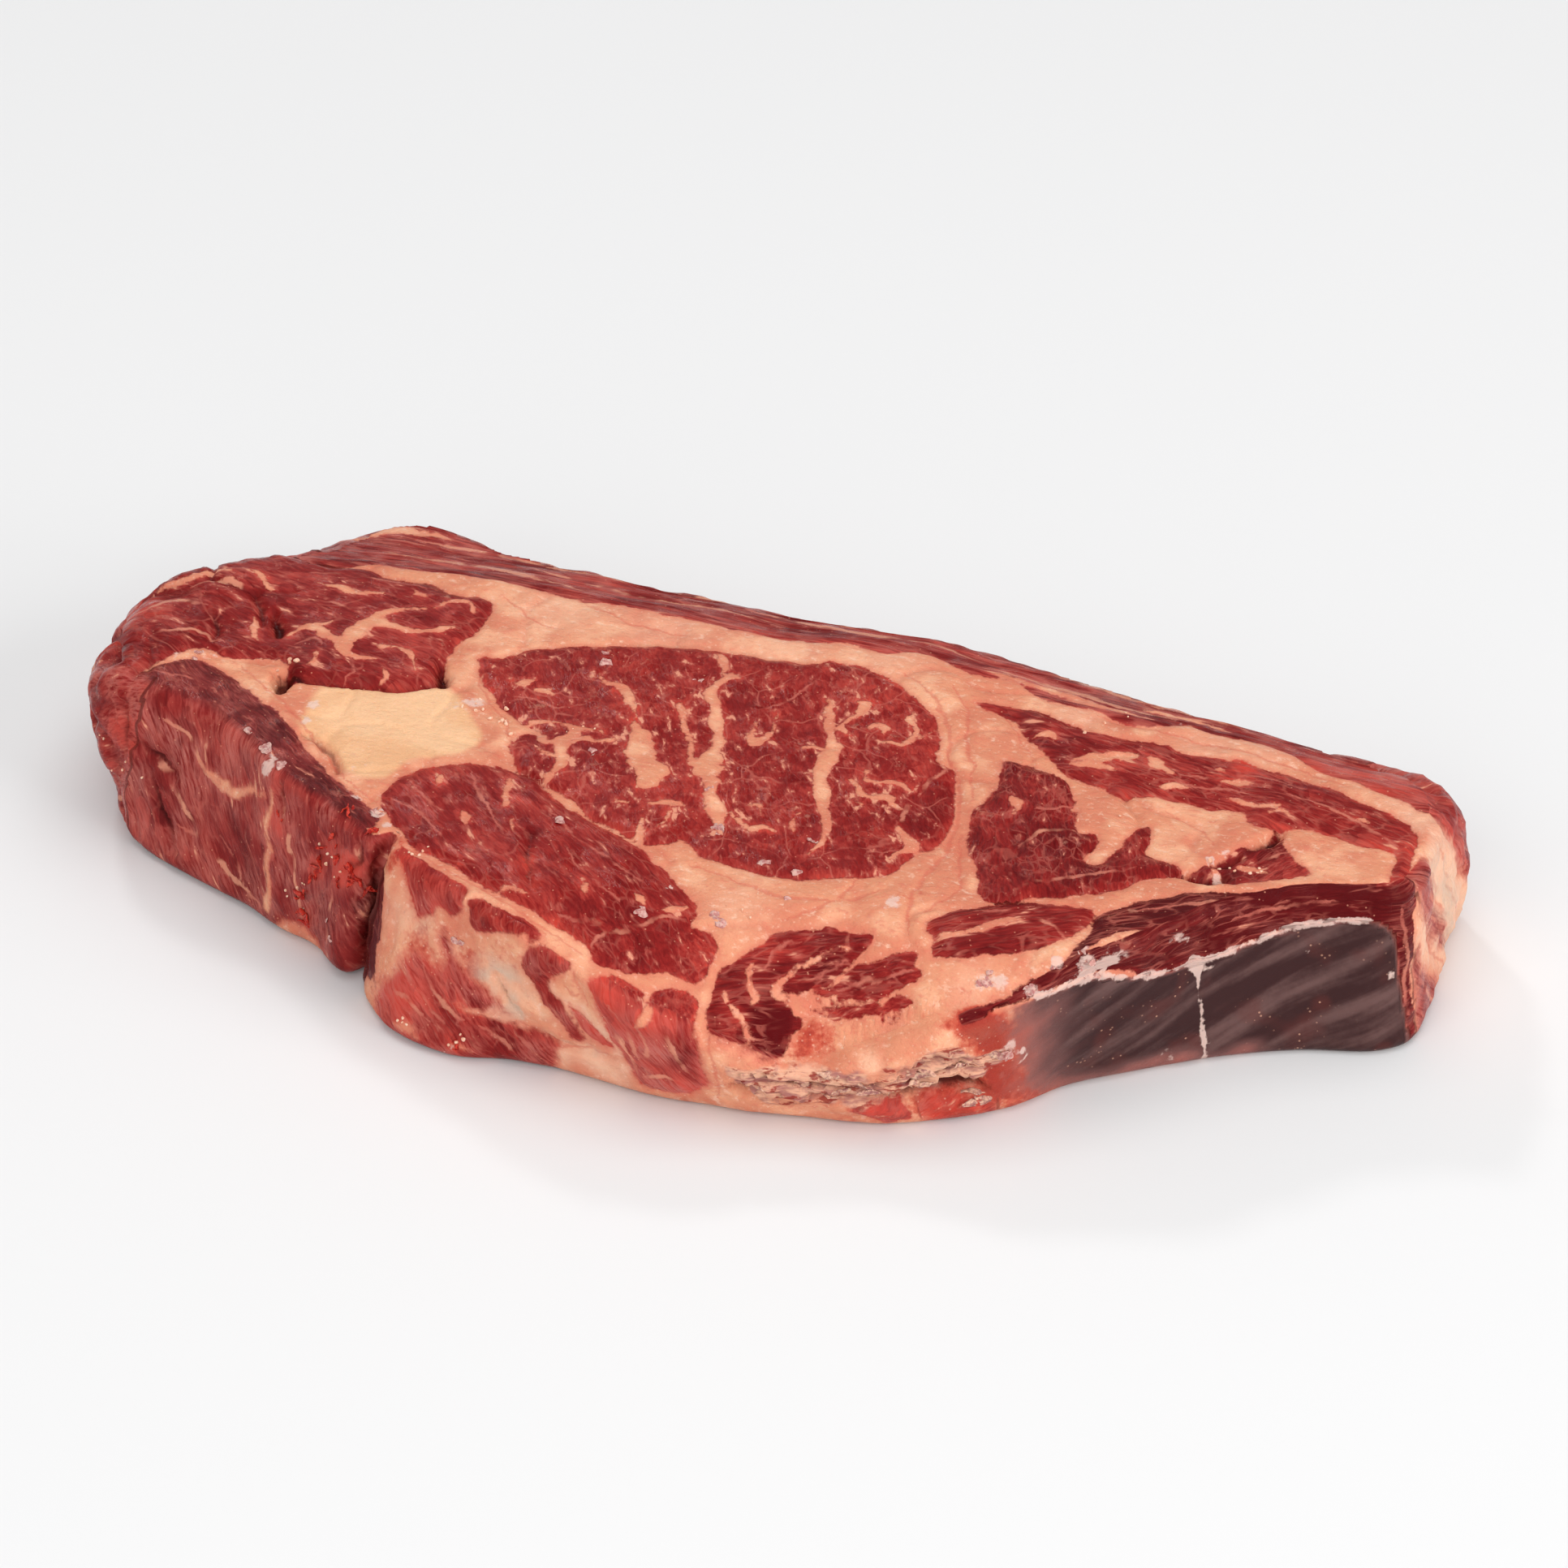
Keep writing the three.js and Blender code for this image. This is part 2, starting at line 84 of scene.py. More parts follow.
# the muscles of the cut face. rise: how far one stands above the fat, mm. tone: darker or
# brighter red. aged: how brown and dull. web: fine marbling. grain: the way its fibres run
# in degrees, and how long they look. coarse: how deep the fibres are. A streak of fat or a
# pale line is x, y, width.
faceMuscles = {
    "eye": {
        "rise": 0.5, "tone": 0.0, "aged": 0.0, "web": 1.0, "grain": (-58, 1.25), "coarse": 0.6,
        "outline": [
            (-72.8, 9.4), (-69.4, 11.1), (-63.9, 17.2), (-56.7, 20), (-50, 23.3), (-41.7, 27.2),
            (-33.9, 29.4), (-21.7, 31.7), (-8.3, 32.8), (-2.8, 35.6), (2.8, 36.1), (9.4, 34.4),
            (17.2, 28.9), (22.8, 25.6), (27.2, 18.9), (30.6, 8.9), (34.4, 7.8), (37.2, 1.1), (40.6, -8.9),
            (41.1, -18.9), (38.3, -23.9), (37.8, -28.9), (34.4, -34.4), (26.1, -37.8), (19.4, -41.1),
            (11.7, -42.2), (-1.7, -40.6), (-7.2, -37.2), (-9.4, -40), (-12.8, -42.2), (-19.4, -40),
            (-27.2, -36.7), (-33.9, -32.2), (-41.7, -29.4), (-47.2, -27.2), (-50, -23.9), (-53.9, -17.2),
            (-52.8, -13.9), (-49.4, -12.2), (-52.8, -10.9), (-58.3, -7.8), (-66.1, -1.1), (-70.6, 4.4)],
        "streaks": [
            [(-47, 12.2, 0.6), (-43.5, 10, 1.2), (-40, 8.6, 2.6), (-37, 5.6, 2.8), (-35, 2, 1.5),
             (-33, -1, 0.6)],
            [(-32.5, -2.6, 0.8), (-29.8, -6, 3.6), (-27.4, -10.5, 5.6), (-24.6, -15, 5.8),
             (-21.8, -18.6, 6.4), (-20.6, -22.4, 4.4)],
            [(-26.4, 28.6, 0.6), (-24, 26.8, 2.4), (-22.6, 24, 1.6), (-21.6, 21, 1)],
            [(-19.6, 21.8, 2.4), (-21.6, 17.4, 2), (-21.8, 13, 3.2), (-18.8, 9.4, 2.6), (-17, 5, 2.6),
             (-15.4, 0.6, 2.2), (-13.6, -4, 3), (-12.6, -8.6, 4.4), (-11.8, -12.6, 6), (-9.4, -16.6, 3.6),
             (-7.4, -20.6, 2.4), (-5.2, -24.6, 3.6), (-3, -28, 3.8), (-1.6, -31, 2)],
            [(-26.4, 7.4, 0.9), (-24.2, 4.4, 1.5), (-22.2, 0.8, 1.2), (-20.2, -2.4, 0.6)],
            [(-20.4, -3.4, 0.6), (-18.6, -6, 1.7), (-16.8, -9, 1.3), (-15, -12.4, 2)],
            [(-9.4, 7.4, 0.5), (-8.6, 2.4, 1.8), (-7, 0.4, 3.6), (-5.2, 1.8, 2.2), (-5.2, 7, 0.8),
             (-6, 12, 0.4)],
            [(1.6, 20.8, 0.7), (3.2, 17, 1.9), (4.8, 13, 2.3), (7, 9, 1.5), (8.6, 4.6, 2.8), (9.6, 1, 4.2),
             (10.4, -4, 2.8), (11.6, -9, 3.5), (13.6, -13, 4), (15.6, -17, 2.8), (17.8, -21.6, 1.9),
             (19.4, -26, 1.3), (18.8, -33, 0.5)],
            [(10, 1.6, 2.4), (6.4, 3.4, 1.3), (3.6, 1.6, 0.6)],
            [(8, 22.4, 0.5), (9.6, 22, 1.8), (8.8, 16.4, 1.4), (7.8, 13, 1.7), (9.8, 10.4, 0.6)],
            [(13.4, 14.2, 0.8), (14.6, 15.6, 1.4), (16.4, 14.6, 1.7), (17, 13, 0.6)],
            [(19.2, 24, 0.7), (19.4, 21, 1.7), (21.4, 18, 1.2), (22.8, 14.6, 1.6), (21.4, 11.8, 1.4),
             (18, 10.4, 1)],
            [(25.6, 19, 0.4), (24.4, 15.4, 1), (23.4, 13, 0.5)],
            [(18.8, -1.2, 1.1), (19.8, -4.2, 1.5), (22.4, -4.4, 1), (25.4, -2.6, 1.7), (29, -3.8, 0.6)],
            [(16.8, -5.8, 0.7), (18.8, -7.4, 1.1), (20.6, -9.4, 1.9), (23.6, -9.4, 1.7), (26, -7.8, 1.8),
             (28, -9.6, 1.6), (30.2, -11, 0.7)],
            [(19.4, -13.4, 0.4), (21.4, -12.4, 0.9), (23.8, -13.6, 0.4)],
            [(-53, -9.6, 1), (-48.5, -7.8, 1), (-44.5, -8.4, 1.6), (-42.6, -10.4, 2.8), (-43.2, -13.5, 3.4),
             (-41.8, -18, 3), (-40.4, -21, 3.2), (-40.6, -25, 2.3), (-41.4, -29, 1.4)],
            [(-55, -13.6, 1), (-50, -12.8, 1.4), (-46.5, -15.4, 1.7), (-44, -14.4, 1.6)],
            [(-42, -9, 1.5), (-39, -8.2, 1.2), (-36.2, -9.4, 0.7)],
            [(-42, -15.8, 1.4), (-40, -11.8, 1), (-37, -12.6, 0.9), (-34.8, -11, 1.1), (-33, -9.2, 0.5)],
            [(-47, -18.4, 0.5), (-45, -19.6, 1.1), (-42, -19.8, 1.3)],
            [(-19.6, -29, 0.7), (-16.6, -28.4, 1.7), (-13, -26.6, 2.4), (-11, -27.4, 0.7)],
            [(-17.6, -34, 0.6), (-16.4, -37, 1.8), (-15.2, -40, 2.1), (-14.2, -42, 0.9)],
            [(-13.4, -28.6, 0.4), (-12.2, -32.4, 0.8), (-13, -36, 0.3)],
            [(-0.6, -26, 0.6), (1.6, -27.6, 1.3), (4.6, -28.6, 1.9), (7.4, -27.4, 1.2), (9.4, -28.2, 0.5)],
            [(1.4, -22.6, 0.4), (3.6, -21.4, 1), (5, -23.8, 0.4)],
            [(31.8, -17, 0.7), (34.4, -20, 2.8), (36.8, -21.8, 2.8), (35.4, -24.6, 1.8), (34.2, -28, 0.5)],
            [(-62, 2.6, 0.5), (-60, 4, 1.7), (-58.6, 5.4, 0.5)],
            [(-57, 1.8, 0.4), (-54.6, 2.8, 1.3), (-52.4, 2, 0.5)],
            [(11.8, -20, 0.4), (11.2, -24, 0.9), (12.4, -27, 0.4)],
            [(-24.6, -29.6, 0.4), (-22.8, -30.2, 1.2), (-21.4, -29.4, 0.4)]],
        "lines": [
            [(33.3, 8.3, 0.8), (31.7, -2.2, 0.9), (31.3, -12.2, 0.9), (32.6, -17.4, 0.8)],
            [(-62, -3, 0.4), (-56, -1, 0.6), (-50, -2.5, 0.5), (-45, 0.5, 0.3)],
            [(-30, 20, 0.3), (-26, 14, 0.6), (-25, 8, 0.4)],
            [(-3, 28, 0.3), (-5, 20, 0.6), (-8.5, 13, 0.4)]],
    },
    "oval": {
        "rise": 0.9, "tone": 0.02, "aged": 0.0, "web": 0.45, "grain": (-38, 2.2), "coarse": 0.9,
        "outline": [
            (-70, -42.2), (-68.3, -36.7), (-63.9, -31.1), (-57.2, -27.2), (-51.1, -26.7), (-43.9, -28.3),
            (-37.2, -32.8), (-30.6, -36.1), (-21.7, -40), (-12.8, -43.9), (-7.2, -47.8), (0.6, -53.3),
            (5, -57.8), (5.4, -60.6), (9.4, -61.1), (12.2, -64.4), (10, -70), (2.8, -71.7), (-3.9, -75),
            (-9.4, -76.1), (-11.7, -73.3), (-21.7, -71.1), (-30.6, -68.9), (-38.3, -66.7), (-47.2, -62.2),
            (-56.1, -59.4), (-61.7, -55), (-67.2, -50), (-70, -45.6)],
        "streaks": [
            [(-47.6, -31.6, 0.6), (-46.6, -34.6, 1.3), (-46, -37.6, 1.7), (-44.4, -40.6, 1)],
            [(-61.6, -34.6, 0.4), (-60.6, -36.2, 1.4), (-60.4, -38.2, 0.4)],
            [(-51.8, -45, 0.4), (-50.4, -46.8, 1.5), (-49.4, -48.8, 0.4)],
            [(-41, -44.4, 0.4), (-40, -47, 0.9), (-38.4, -49.6, 0.4)],
            [(-19.8, -58.4, 0.5), (-18, -60.2, 1.3), (-17, -63, 0.5)],
            [(-8.8, -58.4, 0.5), (-6.8, -59.4, 1.7), (-5.2, -60.2, 0.5)],
            [(-1.4, -60, 0.5), (1, -59.4, 2.1), (2.6, -57.6, 0.8)],
            [(-33.6, -66.6, 1.2), (-31, -66.4, 0.7), (-27.6, -66.6, 0.4)]],
        "lines": [
            [(-20, -69, 0.5), (-12.6, -68.4, 1), (-8, -68.6, 1), (-5, -65.6, 0.9), (-0.6, -62, 0.9),
             (4, -60.6, 0.6)],
            [(-9, -68.6, 0.8), (-10.4, -71.4, 0.8), (-10.6, -74, 0.6)],
            [(-65, -41, 0.3), (-58, -45.6, 0.7), (-52, -47, 0.4)],
            [(-67, -46, 0.3), (-60, -48.6, 0.6), (-52, -55, 0.5), (-46, -60, 0.3)],
            [(-56, -32.6, 0.3), (-50, -39.6, 0.8), (-44, -45.4, 0.5), (-41, -50, 0.3)],
            [(-36, -38, 0.3), (-28, -44.6, 0.6), (-19, -49.6, 0.6), (-9, -54.6, 0.3)],
            [(-27, -50, 0.3), (-20, -56.6, 0.6), (-10, -61.6, 0.4)]],
    },
    "loose": {
        "rise": 1.2, "tone": -0.12, "aged": 0.12, "web": 0.6, "grain": (-12, 1.8), "coarse": 0.8,
        "outline": [
            (-80, 30.6), (-88.3, 30), (-93.9, 31.7), (-102.8, 31.1), (-109.4, 32.2), (-116.1, 31.7),
            (-126, 33), (-150, 45), (-178, 25), (-178, -12), (-155, -48), (-139, -34), (-136, -21),
            (-132.8, -13.9), (-128.3, -10), (-122.8, -10.6), (-117.2, -8.3), (-112.8, -7.2),
            (-109.4, -8.3), (-108.3, -12.8), (-106.1, -18.3), (-103.9, -12.8), (-99.4, -11.7), (-93.9, -10),
            (-87.2, -8.3), (-80.6, -6.1), (-76.1, -1.7), (-77.8, 1.7), (-78.9, 7.2), (-78.9, 15),
            (-77.2, 21.7), (-77.8, 27.2)],
        "streaks": [
            [(-90.4, 21.8, 0.8), (-96, 18.4, 1.4), (-99.2, 14, 2.2), (-99.7, 10, 3.4), (-100.2, 5.6, 4.6),
             (-100.4, 1.4, 5), (-98.4, -1.6, 3), (-95.4, -2.2, 1.6), (-92, -1, 0.7)],
            [(-99, 12, 3.4), (-95, 12.6, 2.6), (-89.4, 12, 1.4), (-85.4, 14.6, 2), (-82.4, 17, 0.8)],
            [(-101, 1.6, 3), (-104.6, 2, 3), (-108.2, 4.3, 2.6), (-111.5, 3.6, 1.8), (-113.4, 0.8, 0.8)],
            [(-108.6, 5.6, 1.2), (-106.4, 8.4, 0.9), (-107.6, 11, 0.4)],
            [(-116, 21.4, 0.6), (-110.4, 21.4, 1.9), (-106, 20.4, 1.5), (-101.4, 22.8, 0.7)],
            [(-89.4, 22.6, 0.5), (-86, 26.6, 1.1), (-82.6, 26.6, 1.1), (-80.4, 24.4, 0.5)],
            [(-93.6, 3.4, 0.6), (-88, 4, 1.3), (-84.6, 1.4, 1.1), (-82.2, -1.8, 0.6)],
            [(-96, 26.6, 0.5), (-94.6, 25.4, 1.2), (-93, 25.6, 0.5)],
            [(-104.6, -3.6, 0.5), (-103.8, -6.6, 0.9), (-104.4, -9, 0.4)],
            [(-89.6, -3.6, 0.4), (-87.6, -5.4, 1), (-88.4, -7.4, 0.4)],
            [(-123, 4.6, 0.8), (-121.4, 2.4, 2), (-120.2, -0.8, 2), (-118.6, -3, 0.7)],
            [(-131.6, 20.6, 0.5), (-127.6, 18.6, 1.2), (-124, 15.6, 0.5)],
            [(-149.6, 11.6, 0.6), (-146, 12.9, 1.5), (-142, 14.4, 1.3), (-139.6, 17.6, 1.5),
             (-135.6, 18.4, 0.6)]],
        "lines": [
            [(-121, 25, 0.6), (-112, 27, 0.9), (-103, 28, 0.7), (-95, 29, 0.4)],
            [(-113, 15.4, 0.5), (-107, 15, 0.9), (-103, 16, 0.5)],
            [(-97, -4.4, 0.4), (-94.6, -7, 0.7), (-95.4, -9.4, 0.4)],
            [(-110, -2, 0.5), (-107.6, 1, 0.8), (-105.4, -1, 0.4)],
            [(-141, 12, 0.7), (-134, 15, 1.2), (-128, 12.6, 0.6)],
            [(-147, -2, 0.8), (-140, 3, 1.2), (-134, 3, 0.6)],
            [(-139, -11, 0.7), (-132, -6, 1.1), (-125, -6.5, 0.6)]],
    },
    "band": {
        "rise": 0.4, "tone": -0.2, "aged": 0.6, "web": 0.15, "grain": (-35, 2.5),
        "film": 0.15, "coarse": 1.2,
        "outline": [
            (-132.8, -17.2), (-127.2, -14.4), (-120.6, -15.6), (-115, -18.9), (-107.2, -23.9),
            (-99.4, -28.3), (-92.8, -35), (-87.2, -39.4), (-79.4, -44.4), (-70.6, -49.4), (-67.2, -52.8),
            (-68.5, -57.5), (-76.1, -57.5), (-92, -50.5), (-104, -41.5), (-118, -34.5), (-131, -33),
            (-139, -30)],
        "lines": [[(-133, -22, 0.4), (-125, -21.5, 0.7), (-117, -25, 0.4)]],
    },
    "front": {
        "rise": 1.0, "tone": -0.35, "aged": 0.0, "web": 0.25, "grain": (27, 3.4), "coarse": 1.4,
        "outline": [
            (15, -76.5), (13.6, -74), (13.2, -71.8), (13.6, -68.7), (14.1, -65.9), (15.9, -62.8),
            (17.4, -60.9), (19.1, -59.4), (20.3, -57.6), (21.6, -56.2), (24.9, -54.8), (27.9, -53.7),
            (29.8, -52.6), (31.8, -52), (35.6, -52), (37.6, -51.5), (39.7, -51.4), (39.9, -52.9),
            (39.4, -54.4), (38.1, -56.4), (37.4, -57.8), (39, -57.3), (42.5, -55.1), (46.3, -53.3),
            (48.2, -53.4), (49.8, -53.9), (49.8, -55.3), (51.5, -56.4), (52, -57.3), (51.5, -58.4),
            (48.8, -59.7), (47.9, -60.4), (50.2, -61), (52.4, -62), (51, -63), (48.2, -63.9), (42.6, -64.9),
            (36.8, -65.8), (33.2, -66.8), (31.9, -68.3), (31.1, -70.2), (30, -71.8), (29.4, -74), (29, -82),
            (16, -84)],
        "streaks": [
            [(18.3, -63.1, 0.5), (18.8, -64.6, 1), (19.8, -65.8, 1.2), (20.7, -67, 1.4), (21.8, -67.8, 1.6),
             (21.4, -68.9, 0.6)],
            [(27.3, -60.6, 0.8), (25.8, -63.3, 1.5), (25, -65.7, 2.1), (26.6, -66.4, 1.7),
             (28.6, -66.6, 2.4)],
            [(15.9, -69.9, 0.5), (17, -71.6, 0.9), (18.6, -72.4, 1.6), (20.7, -72.8, 1.2),
             (22.4, -73.7, 0.6)],
            [(27.4, -65.6, 1.2), (29.4, -66.4, 3), (31.6, -66.5, 2)],
            [(29.6, -64.8, 1), (31.3, -63.7, 0.8), (33.7, -62.2, 0.8), (35.4, -60.7, 0.8),
             (37.6, -58.2, 0.8)],
            [(28, -60.4, 0.6), (30.1, -58.8, 0.9), (31.6, -56.9, 0.8), (33.5, -55.8, 0.7),
             (35.9, -55.2, 0.4)],
            [(29.6, -65.4, 1.6), (32.4, -64.5, 1.4), (34.5, -64, 1), (36.8, -62.9, 0.5)],
            [(32.1, -66, 1.6), (34.8, -64.9, 1.3), (40.3, -63.2, 1), (45.2, -62.2, 1.1), (47.5, -61.1, 1.2),
             (50.4, -59.7, 0.6)]],
        "lines": [
            [(34.6, -52.4, 0.5), (34.8, -54, 0.9), (35.6, -55.4, 0.4)],
            [(37, -61.8, 0.4), (41.6, -59.6, 0.8), (46, -58.2, 0.7), (49.6, -56.6, 0.5)],
            [(21.6, -62.6, 0.4), (22.6, -59.6, 0.7), (25.6, -57, 0.4)],
            [(30, -62, 0.3), (33, -59.4, 0.6), (36, -57.4, 0.3)]],
    },
    "frontLobe": {
        "rise": 0.5, "tone": 0.2, "aged": 0.05, "web": 0.2, "grain": (-28, 2.4),
        "outline": [
            (-60, -60.6), (-57.5, -60.7), (-55.3, -61.4), (-50.8, -63.8), (-46.7, -65.8), (-43, -67.5),
            (-40, -68.9), (-39.4, -72), (-42, -82), (-62, -76), (-64, -64)],
    },
    "middleLobe": {
        "rise": 0.5, "tone": 0, "aged": 0.05, "web": 0.2, "grain": (-18, 2.4),
        "outline": [
            (-36.4, -71), (-34, -71.6), (-30.6, -72.5), (-27.2, -72.9), (-24.5, -73.1), (-22.3, -74.3),
            (-20.6, -75.4), (-20.6, -84), (-38, -84)],
    },
    "scrollTop": {
        "rise": 0.8, "tone": 0.3, "aged": 0.05, "web": 0.2, "grain": (-60, 2),
        "outline": [
            (-7, -78), (-3.6, -76.9), (-0.8, -77), (1.8, -77.4), (3.1, -76.3), (4.5, -74.6), (6.9, -72.8),
            (9.5, -72.3), (11.5, -73.6), (12.3, -76), (13, -86), (-9, -86)],
        "streaks": [[(2.4, -76.6, 0.8), (2.4, -78, 1.4)]],
    },
    "round": {
        "rise": 0.8, "tone": -0.3, "aged": 0.0, "web": 0.4, "grain": (-65, 1.5), "coarse": 1.2,
        "outline": [
            (43.3, 14.4), (48.9, 13.9), (58.3, 10.6), (61.1, 5), (63.3, -0.6), (66.6, -6.1), (69.2, -4.4),
            (70.6, -8.3), (69.4, -12.6), (73.2, -13.9), (75, -8.3), (75.6, -3.9), (77.8, 2.2), (80, -1.7),
            (81.7, -7.2), (87.2, -8.3), (90.6, -11.7), (85, -15), (79.4, -21.7), (72.8, -26.1),
            (66.1, -29.4), (61.7, -32.8), (57.2, -33.9), (53.9, -30.6), (51.7, -25), (47.2, -18.3),
            (44.4, -10.6), (43.9, -2.8), (45, 3.9), (43.3, 9.4)],
        "streaks": [[(50, -0.5, 0.8), (52.4, -2.4, 1.4), (51.6, -5.4, 0.8)]],
        "lines": [
            [(57, -15, 0.7), (58.3, -10.6, 1), (62.8, -6.1, 1), (68.3, -7.2, 0.8)],
            [(61.7, -29.4, 0.8), (64.5, -25.5, 0.9), (70.5, -22, 0.8), (76, -17, 0.8), (81, -14, 0.5)],
            [(56, -2, 0.4), (60, 1, 0.7), (62, 4, 0.4)]],
    },
    "strip": {
        "rise": 0.8, "tone": 0.05, "aged": 0.05, "web": 0.4, "grain": (-12, 2.4), "coarse": 1.3,
        "outline": [
            (30, 32.8), (39.4, 34.1), (47.2, 33.3), (58.3, 30.6), (69.4, 31.7), (80.6, 30.6), (90.6, 31.7),
            (102.8, 30), (110.6, 27.8), (119.4, 24.4), (127.2, 20.6), (130.5, 15), (131.5, 8), (135, 0),
            (137, -12), (131, -6), (128.8, 3), (127.3, 9.6), (119.4, 10.6), (109.4, 12.2), (103.9, 10),
            (96.1, 11.1), (95, 13.9), (88.3, 13.3), (80.6, 13.3), (72.8, 12.2), (69.4, 10.6), (62.8, 12.8),
            (57.2, 13.3), (52.8, 16.1), (48.9, 20.6), (45, 23.9), (40.6, 28.3), (35, 30.6)],
        "streaks": [
            [(56, 18.6, 0.8), (60.6, 21, 2.6), (64.6, 23, 3.4), (67.6, 24.6, 1.4)],
            [(70.4, 25.6, 0.8), (72.6, 24, 2.8), (75.8, 21.8, 1.4)],
            [(46.4, 25, 0.6), (48.4, 26.2, 1.9), (50.6, 25, 0.6)],
            [(87.2, 22.2, 0.7), (90.6, 22.8, 2.2), (93.6, 23.6, 0.8)],
            [(89.6, 17.4, 0.6), (96, 16.1, 1.5), (101, 17.2, 0.8)],
            [(76.4, 16.4, 0.7), (78.6, 17.8, 1.7), (80.6, 17.4, 0.5)],
            [(56, 17, 1), (61, 18.4, 2), (66.6, 18.2, 0.7)],
            [(117, 17.8, 0.4), (118.4, 18.2, 1), (119.8, 17.6, 0.4)],
            [(84, 25.6, 0.4), (85.6, 26.4, 1.1), (87.4, 26, 0.4)],
            [(99.6, 14.5, 0.5), (102.5, 15.8, 1.3), (104.5, 14, 0.5)]],
        "lines": [
            [(78, 22, 0.5), (86, 23, 0.8), (94, 26, 0.6), (104, 25, 0.4)],
            [(102, 21, 0.5), (111, 20, 0.8), (120, 16, 0.8), (127, 12, 0.5)],
            [(46, 27, 0.4), (54, 27, 0.7), (62, 27.5, 0.4)],
            [(80, 18.5, 0.4), (87, 19.5, 0.7), (93, 20, 0.4)]],
    },
    "pocket": {
        "rise": -0.9, "tone": -0.05, "aged": 0.15, "web": 0.3, "grain": (60, 1.4),
        "outline": [
            (102.8, 9.4), (101.7, 5), (98.3, 1.7), (96.1, -2.8), (93.3, -7.2), (90.6, -11.7), (94, -12.8),
            (97.2, -11.7), (101.7, -10.6), (108.3, -6.7), (113.9, -2.2), (110.6, 0.6), (107.2, 2.8),
            (105, 7.2)],
        "streaks": [
            [(95.4, -6.6, 0.8), (96.1, -8.4, 2.2), (97.4, -9.6, 1)],
            [(99.5, -5, 0.8), (102.5, -4.4, 1.8), (105.5, -5, 0.8)]],
        "lines": [[(101, -1.5, 0.5), (104.5, 0.6, 0.9), (107, 3, 0.5)]],
    },
    "ribNear": {
        "rise": 0.8, "tone": -0.25, "aged": 0.05, "web": 0.3, "grain": (33, 3), "coarse": 1.4,
        "outline": [
            (48.3, -46.1), (50.6, -41.7), (56.1, -36.7), (61.7, -32.8), (69.4, -30.6), (75, -29.2),
            (78.3, -30.6), (78.3, -35), (76.1, -39.4), (73.9, -42.8), (69.4, -46.1), (62.8, -49.4),
            (56.1, -52.2), (52.8, -52.8), (51.1, -49.4)],
        "streaks": [[(52.8, -48.3, 1), (57.2, -46.1, 1.4), (61.7, -41.7, 1.6), (66, -38.6, 0.8)]],
        "lines": [
            [(61.7, -41.7, 0.9), (66, -38.2, 0.9), (72, -37.6, 0.9), (75.5, -40, 0.7)],
            [(55, -40, 0.4), (62, -37.6, 0.7), (66, -34, 0.5)]],
    },
    "ribFar": {
        "rise": 0.6, "tone": -1.15, "aged": 0.25, "web": 0.1, "grain": (33, 3.4), "coarse": 1.5,
        "outline": [
            (77.2, -47.2), (78.3, -41.7), (79.4, -35), (78.9, -30.6), (83.9, -23.9), (90.6, -19.4),
            (93.9, -17.2), (100.6, -15), (109.4, -10.6), (117.2, -7.2), (122.8, -3.9), (128.3, -2.8),
            (132.4, -3.9), (137, -8), (130, -12), (116, -16), (103, -28), (91, -43), (81, -53), (72, -60),
            (66, -61), (66.5, -57.5), (72, -52)],
        "streaks": [
            [(80.8, -44.6, 0.8), (83.6, -39.6, 2), (87.6, -35.6, 2.6), (92, -32.4, 2.4),
             (98.6, -28.4, 0.8)],
            [(76, -50, 0.6), (80.4, -46.6, 1), (84, -42.6, 0.6)]],
        "lines": [
            [(86, -27, 0.4), (94, -22.5, 0.8), (104, -17.5, 0.9), (114, -12, 0.5)],
            [(98, -24, 0.5), (106, -19, 0.8), (116, -13, 0.8), (127, -8, 0.5)]],
    },
    "cap": {
        "rise": -0.4, "tone": 0.15, "aged": 0.2, "web": 0.15, "grain": (0, 6), "film": 0.32, "coarse": 1.9,
        "outline": [
            (-124, 31), (-115, 32.8), (-109.4, 36.1), (-98.3, 36.7), (-89.4, 38.9), (-80.6, 39.4),
            (-59.4, 38.3), (-47.2, 39.4), (-27.2, 39.8), (-10.6, 41.1), (-3.9, 42.8), (6.1, 42.8),
            (10.6, 46.1), (15.6, 46.7), (19.4, 44.4), (25, 42.2), (36.1, 43.3), (40, 40), (52.8, 38.9),
            (60.6, 37.2), (68.3, 38.3), (72.8, 42.8), (78.3, 41.1), (91.7, 41.1), (96.1, 39.4),
            (102.8, 35.6), (111.7, 32.8), (122.8, 29.4), (129, 27), (145, 40), (140, 80), (0, 90),
            (-140, 90), (-150, 45), (-135, 34)],
        "streaks": [
            [(-104, 61.5, 0.8), (-111, 60.6, 3), (-117, 59.4, 4), (-121.5, 56.4, 2)],
            [(-105, 69, 0.8), (-98, 67, 3), (-90, 66, 1)],
            [(30, 44.6, 0.8), (44, 43.6, 2.2), (56, 41.6, 2.4), (66, 41.6, 1)],
            [(62, 47, 0.6), (72, 46.6, 2), (82, 44.4, 0.8)]],
        "lines": [
            [(-108, 46, 1), (-92, 47.5, 2.6), (-78, 44.6, 1.6), (-62, 43.8, 0.8)],
            [(-80, 52, 0.8), (-60, 49, 1.8), (-38, 49.5, 1.4), (-20, 47.5, 0.6)],
            [(-30, 54, 0.6), (-8, 51.5, 1.8), (14, 53, 1.4), (30, 50, 0.6)],
            [(26, 47.5, 0.8), (44, 46.5, 2), (60, 44.6, 1.8), (70, 44.5, 0.8)],
            [(40, 54, 0.8), (54, 51.5, 2.2), (72, 50.5, 1.6), (86, 47.5, 0.6)],
            [(-110, 57, 0.6), (-92, 58, 1.6), (-70, 56, 1.2), (-50, 57.5, 0.6)]],
    },
}

